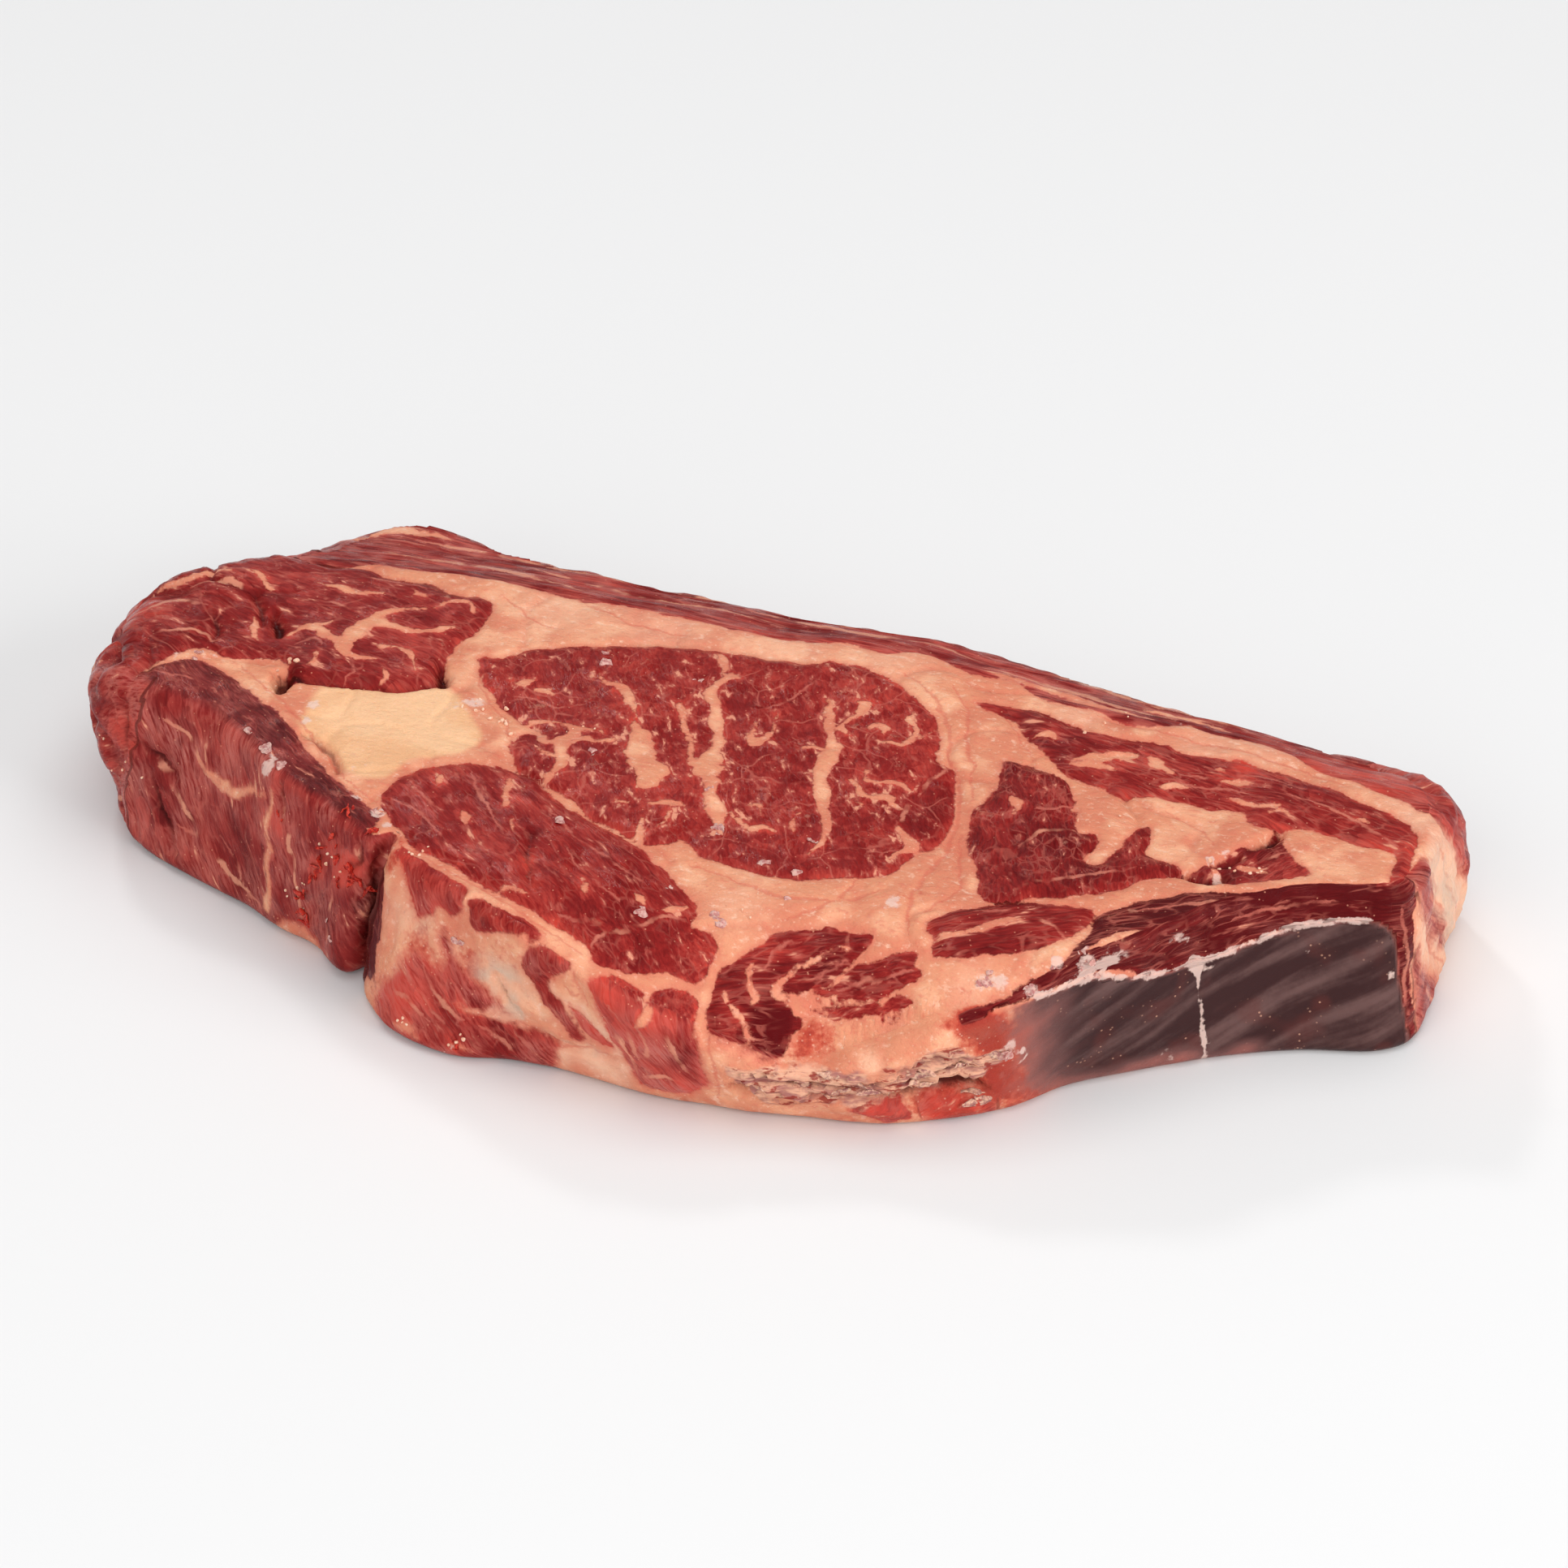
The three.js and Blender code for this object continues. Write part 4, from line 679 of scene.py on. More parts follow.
sideSpots = {
    # the darker tone spots at 724, 727 and 731 along the rim are painted shade on the inner wall of the deep
    # crease
    "tone": [
        (27, 6, 8, -0.3), (39, 7, 6, -0.4), (12, 12, 6, 0.2), (28, 15, 3.4, -0.4), (75.6, 18, 4.4, -0.8),
        (70, 8, 4, 0.3), (21, 4.4, 2.2, 0.7), (6, 8.6, 3, 0.4), (719, 27, 4, 1.1), (710, 22.6, 3, 0.9),
        (718.4, 25.4, 3, 0.9), (712.7, 29, 2.4, 0.7), (706, 8, 3, 0.9), (724, 20, 3.4, -0.5),
        (727, 12, 3, -0.6), (650, 6, 7, 0.4), (690.5, 26, 2, 0.7), (694.9, 27, 2, 0.7), (655, 12, 3, -0.5),
        (88, 21, 5, 0.1), (648, 24, 5, 0.3), (684, 14, 7, -0.35), (676, 18, 5, -0.15), (700, 12, 5, -0.2),
        (664, 8, 4, 0.3), (655, 24, 3, -0.4), (731, 20, 4, -0.8), (700, 35.5, 14, 0.3), (670, 36, 9, 0.25),
        (714, 14, 4, -0.2), (132, 32, 4, 0.3), (146, 33, 6, 0.2), (122, 4, 4, 0.3), (560, 24, 8, 0.2),
        (610, 20, 9, -0.3)],
    "stain": [
        (99, 24, 3, 0.6), (104, 22, 4, 0.7), (112, 22, 4, 0.4), (131, 25, 3.4, 0.9), (134.6, 24, 3.4, 1),
        (133, 19.6, 3, 0.6), (136.6, 20.6, 3, 0.8), (136, 11, 4, 0.8), (121, 5, 3, 0.8), (126, 3, 4, 0.9),
        (132, 2.6, 4, 0.8), (139, 6, 6, 0.8), (146, 2, 7, 0.8), (160, 2, 9, 0.8), (174, 3, 8, 0.8),
        (188, 3.4, 7, 0.8), (198, 2, 6, 0.7), (133, 28, 4, 1), (138, 12, 5, 1), (140, 21, 5, 1),
        (138, 26, 4, 0.8), (146, 8, 6, 0.8), (137, 16, 4, 0.6), (23, 26, 4, 0.4), (7, 9, 4, 0.55),
        (12, 22.5, 4, 0.7), (20, 20, 5, 0.7), (27, 21, 5, 0.6), (36, 28, 5, 0.35), (46, 24, 5, 0.3),
        (56, 27, 5, 0.2), (86, 12, 4, 0.5), (92, 8, 5, 0.35), (104, 5, 6, 0.45), (1.4, 34, 3, 0.8),
        (66, 32, 6, 0.15), (126, 7, 6, 0.5), (52, 10, 6, 0.25), (114, 5, 6, 0.7), (238, 6, 5, 0.3),
        (262, 14, 4, 0.2)],
    "frost": [
        (146, 32.4, 2.4, 0.9), (158, 34, 3, 0.9), (163, 33.4, 2.6, 0.9), (180, 32, 3, 0.6),
        (139.6, 17, 2.4, 0.9), (223.6, 18, 1.4, 1), (186.4, 23.4, 1.4, 1), (208, 24, 2.4, 0.35),
        (130, 9.6, 3, 0.35), (688, 36.6, 2, 0.9), (183.4, 24.6, 1.4, 0.8), (141, 18.6, 0.9, 0.9),
        (143, 17.2, 0.9, 0.9), (143.4, 15, 0.8, 0.9), (141.6, 13.6, 0.9, 0.8), (717, 24, 2, 0.5),
        (102, 12.4, 4, 0.3), (180, 1, 7, 0.4), (21, 2.4, 3, 0.5), (216, 12, 5, 0.18), (205, 10, 8, 0.12)],
    "silver": [
        (35, 18, 6, 1), (30, 21, 4, 0.7), (41, 14.5, 3.5, 0.7), (12, 26, 3, 0.3), (248, 22, 7, 0.8),
        (244, 33, 6, 0.5), (254, 12, 6, 0.8), (717, 12, 2.6, 0.6), (678, 25, 4, 0.2), (57, 18, 4, 0.35),
        (55, 8, 3, 0.3), (73, 18, 3, 0.3), (262, 6, 5, 0.5)],
    "pale": [
        (236, 22, 9, 1), (246, 30, 9, 1), (250, 12, 9, 1), (262, 34, 7, 0.6), (266, 8, 9, 0.9),
        (258, 22, 8, 0.8), (20, 20, 5, 0.5), (34, 20, 7, 0.5), (8, 26, 5, 0.4), (46.4, 24, 1.6, 0.8),
        (49.6, 21.6, 1.6, 0.8), (53, 20.4, 1.8, 0.8), (56.6, 17.6, 1.8, 0.8), (58.8, 12.4, 1.8, 0.8),
        (60, 8.4, 1.6, 0.7), (47, 6, 3, 0.8), (53.6, 7, 3, 0.8), (57, 4.4, 3.4, 0.8), (51.6, 9.6, 2, 0.6),
        (131.6, 7, 2.6, 0.9), (113, 19, 2, 0.6)],
    "film": [(71, 8, 4, 0.4), (65, 5.5, 3, 0.4), (658, 28, 5, 0.3)],
}

camera = {"azimuth": 22, "elevation": 34, "distance": 1200, "lens": 133.04, "aim": (-1.55, 3.83, 26.1)}


def toWorld(points):
    placed = np.asarray(points, float).copy()
    placed[..., 0] -= cut["middle"][0]
    placed[..., 1] -= cut["middle"][1]
    return placed * mm


def addObject(name, data):
    thing = bpy.data.objects.new(name, data)
    bpy.context.collection.objects.link(thing)
    return thing


def placeCamera():
    turn, lift = math.radians(camera["azimuth"]), math.radians(camera["elevation"])
    ahead = Vector((-math.sin(turn) * math.cos(lift), math.cos(turn) * math.cos(lift), -math.sin(lift)))
    data = bpy.data.cameras.new("camera")
    data.lens = camera["lens"]
    data.sensor_width = 36
    data.clip_end = 20
    eye = addObject("camera", data)
    eye.location = Vector(toWorld(camera["aim"])) - ahead * camera["distance"] * mm
    eye.rotation_euler = ahead.to_track_quat("-Z", "Y").to_euler()
    bpy.context.scene.camera = eye


def smooth(low, high, v):
    t = np.clip((v - low) / (high - low), 0, 1)
    return t * t * (3 - 2 * t)


def curveThrough(points, perSpan, closed=True):
    rows = np.asarray(points, float)
    if not closed:      # an open line gets mirrored end points
        rows = np.vstack([2 * rows[0] - rows[1], rows, 2 * rows[-1] - rows[-2]])
    count = len(rows)
    spans = range(count) if closed else range(1, count - 2)
    out = []
    for i in spans:
        q = [rows[(i + k) % count] for k in (-1, 0, 1, 2)]
        gaps = [max(1e-6, np.linalg.norm(q[k + 1][:2] - q[k][:2])) ** 0.5 for k in range(3)]
        k0, k1, k2, k3 = 0.0, gaps[0], gaps[0] + gaps[1], sum(gaps)
        t = np.linspace(k1, k2, perSpan, endpoint=False)[:, None]
        a1 = ((k1 - t) * q[0] + (t - k0) * q[1]) / (k1 - k0)
        a2 = ((k2 - t) * q[1] + (t - k1) * q[2]) / (k2 - k1)
        a3 = ((k3 - t) * q[2] + (t - k2) * q[3]) / (k3 - k2)
        b1 = ((k2 - t) * a1 + (t - k0) * a2) / (k2 - k0)
        b2 = ((k3 - t) * a2 + (t - k1) * a3) / (k3 - k1)
        out.append(((k2 - t) * b1 + (t - k1) * b2) / (k2 - k1))
    if not closed:
        out.append(rows[-2:-1])
    return np.concatenate(out)


def corner(i, j, k, seed):
    h = (i * 374761393 + j * 668265263 + k * 1442695041 + seed * 974634777) & 0xFFFFFFFF
    h = ((h ^ (h >> 13)) * 1274126177) & 0xFFFFFFFF
    return ((h ^ (h >> 16)) & 0xFFFF) / 32767.5 - 1


# soft random lumps between -1 and 1, each octave half the size of the last
def lumps(p, size, seed, octaves=1):
    total, weight = np.zeros(len(p)), 0
    for octave in range(octaves):
        q = p / (size / 2 ** octave)
        cell = np.floor(q).astype(np.int64)
        f = q - cell
        f = f * f * f * (f * (f * 6 - 15) + 10)
        value = np.zeros(len(p))
        for di in (0, 1):
            for dj in (0, 1):
                for dk in (0, 1):
                    share = (f[:, 0] if di else 1 - f[:, 0]) * (f[:, 1] if dj else 1 - f[:, 1])
                    share = share * (f[:, 2] if dk else 1 - f[:, 2])
                    value += share * corner(cell[:, 0] + di, cell[:, 1] + dj, cell[:, 2] + dk, seed + octave)
        total += value / 2 ** octave
        weight += 1 / 2 ** octave
    return total / weight


# distance to a line, the place on it, and the side that a point is on
def distanceTo(p, line, closed):
    ends = np.vstack([line[1:], line[:1]]) if closed else line[1:]
    starts = line if closed else line[:-1]
    best = np.full(len(p), 1e9)
    where = np.zeros(len(p))
    side = np.ones(len(p))
    for i, (a, b) in enumerate(zip(starts, ends)):
        ab = b[:2] - a[:2]
        away = p - a[:2]
        t = np.clip((away @ ab) / max(1e-9, ab @ ab), 0, 1)
        d = np.hypot(away[:, 0] - t * ab[0], away[:, 1] - t * ab[1])
        near = d < best
        best[near] = d[near]
        where[near] = i + t[near]
        side[near] = np.sign(ab[0] * away[near, 1] - ab[1] * away[near, 0] + 1e-12)
    return best, where, side


def isInside(p, loop):
    inside = np.zeros(len(p), bool)
    for a, b in zip(loop, np.roll(loop, -1, axis=0)):
        if a[1] == b[1]:
            continue
        crosses = (a[1] > p[:, 1]) != (b[1] > p[:, 1])
        inside ^= crosses & (p[:, 0] < a[0] + (p[:, 1] - a[1]) * (b[0] - a[0]) / (b[1] - a[1]))
    return inside


# distance inside a closed outline, negative outside it
def depthIn(p, outline, reach=12, perSpan=5):
    loop = curveThrough(outline, perSpan)[:, :2]
    depth = np.full(len(p), -float(reach))
    near = np.all((p > loop.min(0) - reach) & (p < loop.max(0) + reach), axis=1)
    away, _, _ = distanceTo(p[near], loop, True)
    depth[near] = np.where(isInside(p[near], loop), away, -away)
    return depth


# the nearest of some lines of changing width: side distance, distance, width, index
def nearestLine(p, lines, reach=6, perSpan=5):
    found = np.zeros((len(p), 4))
    found[:, :2] = reach
    for index, points in enumerate(lines):
        line = curveThrough(points, perSpan, closed=False)
        near = np.all((p > line[:, :2].min(0) - reach) & (p < line[:, :2].max(0) + reach), axis=1)
        if not near.any():
            continue
        away, where, side = distanceTo(p[near], line, False)
        width = np.interp(where, np.arange(len(line)), line[:, 2])
        better = away - width / 2 < found[near, 1] - found[near, 2] / 2
        rows = np.flatnonzero(near)[better]
        found[rows] = np.column_stack([side * away, away, width, np.full(len(away), index)])[better]
    return found


def spots(p, places):
    total = np.zeros(len(p))
    for x, y, reach, amount in places:
        total += amount * np.exp(-((p[:, 0] - x) ** 2 + (p[:, 1] - y) ** 2) / reach ** 2)
    return total


def faceHeight(x, y):
    z = cut["thickness"] + cut["ribSideExtra"] * smooth(80, 130, x)
    for atX, halfWidth, fromY, toY, deep in dips:
        z = z - deep * np.exp(-(((x - atX) / halfWidth) ** 2)) * smooth(-fromY, -toY, -y)
    line = np.asarray(capLine, float)
    behind = np.clip(y - np.interp(x, line[:, 0], line[:, 1]), 0, None)
    z = z - capFall["slope"] * behind - capFall["curve"] * behind ** 2
    for atX, atY, reach, height in swells:
        z = z + height * np.exp(-((x - atX) ** 2 + (y - atY) ** 2) / reach ** 2)
    return z - leftRoll["bend"] * np.clip(leftRoll["from"] - x, 0, None) ** 2


# the rim again with its points evenly spaced along the top edge
def rimStations():
    fine = curveThrough(rim, 40)
    fine = np.vstack([fine, fine[:1]])
    along = np.concatenate([[0], np.cumsum(np.hypot(*np.diff(fine[:, :2], axis=0).T))])
    count = int(along[-1] / cut["spacing"])
    u = np.arange(count) * along[-1] / count
    rows = np.stack([np.interp(u, along, fine[:, k]) for k in range(6)], 1)
    before, after = np.roll(rows[:, :2], 2, axis=0), np.roll(rows[:, :2], -2, axis=0)
    out = np.stack([after[:, 1] - before[:, 1], before[:, 0] - after[:, 0]], 1)
    return u, rows, out / np.linalg.norm(out, axis=1)[:, None]


def drawnIn(radius, k):
    return radius * (1 - np.sqrt(1 - np.clip(k, 0, 1) ** 2))


def sideRing(rows, out, height, share):
    z = height * share
    down = 1 - share
    edgeRound = np.minimum(rows[:, 4], height * 0.45)
    push = rows[:, 5] * math.sin(math.pi * down) - drawnIn(edgeRound, (z - height + edgeRound) / edgeRound)
    push = push - drawnIn(cut["footRound"], (cut["footRound"] - z) / cut["footRound"])
    flat = rows[:, :2] + (rows[:, 2:4] - rows[:, :2]) * down + out * push[:, None]
    return np.column_stack([flat, z])


# even points inside an outline, joined up to it; returns new points and faces
def fillOutline(ring, spacing):
    low, high = ring.min(0), ring.max(0)
    grid = []
    for row, y in enumerate(np.arange(low[1], high[1], spacing * math.sqrt(3) / 2)):
        xs = np.arange(low[0] + (row % 2) * spacing / 2, high[0], spacing)
        grid.append(np.column_stack([xs, np.full(len(xs), y)]))
    grid = np.concatenate(grid)
    grid = grid[isInside(grid, ring)]
    margin = spacing * 0.6
    away = np.full(len(grid), 1e9)
    for a in ring:
        near = np.abs(grid[:, 0] - a[0]) < margin
        away[near] = np.minimum(away[near], np.hypot(grid[near, 0] - a[0], grid[near, 1] - a[1]))
    grid = grid[away > margin]
    points = [Vector(p) for p in np.vstack([ring, grid])]
    _, _, faces, origin, _, _ = delaunay_2d_cdt(points, [], [list(range(len(ring)))], 1, 1e-6)
    back = [o[0] for o in origin]
    return grid, np.array([[back[i] for i in f] for f in faces if len(f) == 3])


def buildSkin():
    u, rows, out = rimStations()
    count = len(u)
    height = faceHeight(rows[:, 0], rows[:, 1])
    steps = np.linspace(0, 1, cut["sideRows"] + 1)
    shares = 1 - (0.6 * steps + 0.4 * (0.5 - 0.5 * np.cos(np.pi * steps)))
    rings = [sideRing(rows, out, height, s) for s in shares]
    quads = []
    step = np.arange(count)
    after = (step + 1) % count
    for r in range(len(rings) - 1):
        a, b = r * count, (r + 1) * count
        quads.append(np.column_stack([b + step, b + after, a + after, a + step]))
    topGrid, topFaces = fillOutline(rings[0][:, :2], cut["spacing"])
    firstTop = len(rings) * count
    topFaces = np.where(topFaces < count, topFaces, topFaces - count + firstTop)
    footGrid, footFaces = fillOutline(rings[-1][:, :2], cut["footSpacing"])
    firstFoot = firstTop + len(topGrid)
    lastRing = (len(rings) - 1) * count
    footFaces = np.where(footFaces < count, footFaces + lastRing, footFaces - count + firstFoot)[:, ::-1]
    points = np.vstack(rings + [
        np.column_stack([topGrid, faceHeight(topGrid[:, 0], topGrid[:, 1])]),
        np.column_stack([footGrid, np.zeros(len(footGrid))])])
    along = np.zeros(len(points))
    along[:firstTop] = np.tile(u, len(rings))
    # the way down the side from the edge, round the bend
    rowSteps = np.linalg.norm(np.diff(np.array(rings), axis=0), axis=2)
    down = np.zeros(len(points))
    down[count:firstTop] = np.cumsum(rowSteps, axis=0).ravel()
    isSide = np.zeros(len(points), bool)
    isSide[count:lastRing] = True       # the edge ring belongs to the upper face, the last to the foot
    return {"points": points, "quads": np.concatenate(quads), "triangles": np.vstack([topFaces, footFaces]),
            "isSide": isSide, "along": along, "down": down, "count": count, "firstTop": firstTop,
            "firstFoot": firstFoot, "height": height}


def normalsOf(points, quads, triangles):
    tris = np.vstack([quads[:, [0, 1, 2]], quads[:, [0, 2, 3]], triangles])
    a, b, c = (points[tris[:, k]] for k in range(3))
    face = np.cross(b - a, c - a)
    total = np.zeros_like(points)
    for k in range(3):
        np.add.at(total, tris[:, k], face)
    return total / np.maximum(1e-9, np.linalg.norm(total, axis=1))[:, None]


# how far places lie along and across a direction
def turned(place, angle):
    run = place[:, 0] * np.cos(angle) + place[:, 1] * np.sin(angle)
    return run, place[:, 1] * np.cos(angle) - place[:, 0] * np.sin(angle)


# reads the drawn muscles at places p of a cut face or the sides, with the third
# coordinate only for the roughness of their edges. The fibres follow unrolled places.
def readTissue(p, third, muscles, gaps, folds, places, unrolled):
    count = len(p)
    solid = np.column_stack([p, third])
    wobble = np.column_stack([
        0.8 * lumps(solid, 5.5, 31, 2) + 0.35 * lumps(solid, 2.2, 41),
        0.8 * lumps(solid, 5.5, 51, 2) + 0.35 * lumps(solid, 2.2, 61)])
    q = p + wobble
    tissue = {name: np.zeros(count) for name in ("tone", "aged", "web", "film", "rise", "angle")}
    tissue["stretch"] = np.ones(count)
    tissue["coarse"] = np.ones(count)
    best = np.full(count, -12.0)
    edge = np.ones(count)
    streaks, lines = [], []
    for muscle in muscles.values():
        depth = depthIn(q, muscle["outline"])
        own = depth > np.maximum(best, -6)
        best = np.maximum(best, depth)
        for name in ("tone", "aged", "web", "film"):
            tissue[name][own] = muscle.get(name, 0)
        tissue["coarse"][own] = muscle.get("coarse", 1)
        edge[own] = muscle.get("edge", 1)
        tissue["angle"][own], tissue["stretch"][own] = muscle["grain"]
        crown = np.where(depth > 0, muscle["rise"] * (1 - np.exp(-np.maximum(depth, 0) / 3)), 0)
        tissue["rise"] += crown - 0.45 * np.exp(-((depth - 0.2) / 1.1) ** 2) / muscle.get("edge", 1)
        streaks += muscle.get("streaks", [])
        lines += muscle.get("lines", [])
    streak = nearestLine(q, streaks)
    coast = (0.3 + 0.16 * streak[:, 2]) * lumps(solid, 2.8, 201, 2)
    inStreak = np.where(streak[:, 2] > 0, streak[:, 2] / 2 - streak[:, 1] + coast, -12)
    tissue["fat"] = np.maximum(-best / edge, inStreak)
    tissue["streak"] = np.clip(inStreak, -6, 3)
    tissue["edge"] = edge
    for name, drawn in (("thin", lines), ("fold", folds), ("gap", [line for _, line in gaps])):
        nearest = nearestLine(q, drawn)
        tissue[name] = nearest[:, :3]
        tissue[name + "Index"] = nearest[:, 3]
    away, width = tissue["gap"][:, 1], tissue["gap"][:, 2]
    deep = np.array([deep for deep, _ in gaps])[tissue["gapIndex"].astype(int)]
    reach = np.maximum(0.5, width * 0.6) + 0.45
    tissue["rise"] -= np.where(width > 0, deep * np.exp(-(away / reach) ** 2), 0)
    tissue["rise"] -= 0.3 * np.exp(-(tissue["fold"][:, 1] / 0.8) ** 2)
    tissue["rise"] += 0.12 * smooth(-0.5, 0.8, inStreak)
    for name in ("tone", "film", "stain", "frost", "silver", "pale"):
        tissue[name] = tissue.get(name, np.zeros(count)) + spots(q, places.get(name, []))
    run, across = turned(unrolled, np.radians(tissue["angle"]))
    wavy = 0.9 * lumps(solid, 7, 241, 2)
    tissue["grain"] = np.column_stack([run / tissue["stretch"], across + wavy, third])
    return tissue


def readSide(p, unrolled):
    return readTissue(p, np.zeros(len(p)), sideMuscles, sideGaps, sideFolds, sideSpots, unrolled)


def readSkin(skin):
    points, isSide = skin["points"], skin["isSide"]
    flat = points[~isSide, :2]
    face = readTissue(flat, points[~isSide, 2], faceMuscles, faceGaps, faceFolds, faceSpots, flat)
    sidePlace = np.column_stack([skin["along"], points[:, 2]])[isSide]
    unrolled = np.column_stack([skin["along"], -skin["down"]])
    side = readSide(sidePlace, unrolled[isSide])
    wobble = 0.8 * lumps(points[~isSide], 4, 75, 2)
    face["wax"] = smooth(-0.6, 1.4, depthIn(flat + wobble[:, None], wax))
    face["dry"] = np.zeros(len(flat))
    face["skin"] = np.zeros(len(flat))
    side["wax"] = np.zeros(len(sidePlace))
    side["dry"] = smooth(-1.5, 1.5, depthIn(sidePlace, drySide))
    depth = depthIn(sidePlace, lining["outline"])
    seeThrough = smooth(lining["clearFrom"], lining["clearTo"], sidePlace[:, 0])
    uneven = sidePlace[:, 1] + 2.5 * lumps(skin["points"][isSide], 9, 71)
    lowEdge = 1 - 0.7 * smooth(7, 0.5, uneven) * smooth(206, 194, sidePlace[:, 0])
    side["skin"] = smooth(-0.4, 0.8, depth) * seeThrough * lowEdge
    alongTop = smooth(5, 12, sidePlace[:, 1]) * smooth(140, 150, sidePlace[:, 0])
    alongTop = alongTop * smooth(224, 219, sidePlace[:, 0])
    side["frost"] += np.exp(-((depth + 0.4) / 0.8) ** 2) * alongTop
    fromCrack = nearestLine(sidePlace, [lining["crack"]])[:, 1]
    side["frost"] += np.exp(-(fromCrack / 0.7) ** 2) * (1.0 + 0.4 * lumps(skin["points"][isSide], 3, 73))
    onSkin = depth > 0
    side["fat"] = np.where(onSkin, np.maximum(side["fat"], depth), side["fat"])
    side["rise"] = np.where(onSkin, side["rise"] * 0.3, side["rise"])
    run, across = turned(sidePlace, math.radians(lining["ribAngle"]))
    ribs = np.column_stack([run / 8, across, np.zeros(len(run))])
    side["grain"][onSkin] = ribs[onSkin]
    ribWave = lining["ribSwell"] * np.sin(2 * np.pi * across / lining["ribStep"])
    side["rise"] += np.where(onSkin, ribWave, 0) * smooth(0, 4, depth)
    tissue = {}
    for name, values in face.items():
        whole = np.zeros((len(points),) + values.shape[1:])
        whole[~isSide] = values
        whole[isSide] = side[name]
        tissue[name] = whole
    # soft patches of three sizes that all the colours share
    tissue["mottle"] = np.column_stack([
        lumps(points, size, seed, 2) for size, seed in ((11, 221), (6, 223), (3.4, 225))])
    uneven = np.clip(0.3 + 0.6 * tissue["coarse"], 0, 1)
    tissue["tone"] += uneven * (0.35 * lumps(points, 16, 211, 2) + 0.35 * lumps(tissue["grain"], 4.5, 213, 2))
    # the fibres as the side sees them, for the points of the edge ring
    count = skin["count"]
    edgePlace = np.column_stack([skin["along"], points[:, 2]])[:count]
    tissue["edgeGrain"] = readSide(edgePlace, unrolled[:count])["grain"]
    return tissue


crust = {"layer": 2.6, "ledge": 1.6, "torn": 0.6}


# how far the layers of the dried edge stand out
def driedLayers(place, dry):
    level = place[:, 2] / crust["layer"] + 0.9 * lumps(place * [1, 1, 2], 9, 81, 2)
    ledge = level - np.floor(level)
    torn = lumps(place * [1, 1, 2.4], 3.4, 91, 2)
    return dry * (crust["ledge"] * (ledge ** 0.6 - 0.6) + crust["torn"] * torn)


bundles = {"size": 9.0, "swell": 1.7, "valley": 0.8, "seam": 0.14, "from": 108, "to": 138}
creases = {"size": 20.0, "width": 0.07, "deep": 0.45}
texture = {"fibre": 0.32, "fat": 0.42, "sideRough": 0.7, "tornRough": 1.5, "edgeBlend": 3, "footBlend": 4}
# the corner of the far end is torn rather than cut, between these places along the rim
tornCorner = {"from": 232, "full": 242, "until": 280, "to": 296}


def relief(skin, tissue):
    points, count = skin["points"], skin["count"]
    loose = smooth(bundles["from"], bundles["to"], -points[:, 0]) * smooth(34, 18, points[:, 1])
    loose = loose * np.where(skin["isSide"], smooth(24, 4, points[:, 0] + 150), 1)
    bulk = 0.9 * loose * lumps(points, 9, 11, 2) + 0.5 * lumps(points, 17, 13)
    fatty = smooth(-0.5, 1.5, tissue["fat"])
    winding = lumps(points * [1, 1.3, 1], creases["size"], 27, 2)
    tissue["crease"] = fatty * np.exp(-(winding / creases["width"]) ** 2)
    fine = (1 - fatty) * tissue["coarse"] * texture["fibre"] * lumps(tissue["grain"], 2.6, 21, 2)
    fine += fatty * texture["fat"] * lumps(points, 8, 23, 2) - creases["deep"] * tissue["crease"]
    # the loose end splits into bundles: valleys where the noise changes sign
    bent = points + 3.0 * np.column_stack([lumps(points, 12, seed, 2) for seed in (121, 122, 123)])
    bent = bent * [0.55, 1.0, 1.0]
    coarse = np.abs(lumps(bent, bundles["size"], 131))
    small = np.abs(lumps(bent, bundles["size"] * 0.45, 133))
    valley = np.exp(-(coarse / bundles["seam"]) ** 2) + 0.35 * np.exp(-(small / bundles["seam"]) ** 2)
    rough = loose * (bundles["swell"] * np.minimum(coarse, 0.5) - bundles["valley"] * valley)
    # painted shade and light: the colour darkens in the valleys between bundles and lightens on their swells
    tissue["tone"] -= loose * (0.4 * valley - 0.3 * coarse)
    rise = tissue["rise"] + fine + rough
    rise = rise * (1 - 0.8 * tissue["skin"]) + bulk
    rise += driedLayers(points, tissue["dry"])
    # the side starts with the relief of the edge, and ends without any at the foot
    firstTop = skin["firstTop"]
    rings = firstTop // count
    fromEdge = np.zeros(len(points))
    fromEdge[:firstTop] = np.tile(skin["height"], rings) - points[:firstTop, 2]
    edgeRise = np.zeros(len(points))
    edgeRise[:firstTop] = np.tile(rise[:count], rings)
    blend = smooth(0, texture["edgeBlend"], fromEdge)
    torn = smooth(tornCorner["from"], tornCorner["full"], skin["along"])
    torn = torn * smooth(tornCorner["to"], tornCorner["until"], skin["along"])
    ragged = texture["sideRough"] * lumps(points, 6, 101, 2)
    ragged = ragged + texture["tornRough"] * torn * lumps(points, 4.5, 103, 3)
    sideRise = rise * blend + edgeRise * (1 - blend) + ragged * (1 - tissue["skin"])
    rise = np.where(skin["isSide"], sideRise, rise)
    rise[:firstTop] *= smooth(0, texture["footBlend"], points[:firstTop, 2])
    rise[skin["firstFoot"]:] = 0
    return rise


placeCamera()
skin = buildSkin()
triangleCount = len(skin["quads"]) * 2 + len(skin["triangles"])
print("skin laid out:", len(skin["points"]), "points,", triangleCount, "triangles")
tissue = readSkin(skin)
print("muscles and fat read")
rise = relief(skin, tissue)
shape = skin["points"] + normalsOf(skin["points"], skin["quads"], skin["triangles"]) * rise[:, None]
shape[:, 2] = np.maximum(shape[:, 2], 0)
print("relief added, from", round(rise.min(), 1), "to", round(rise.max(), 1), "mm")


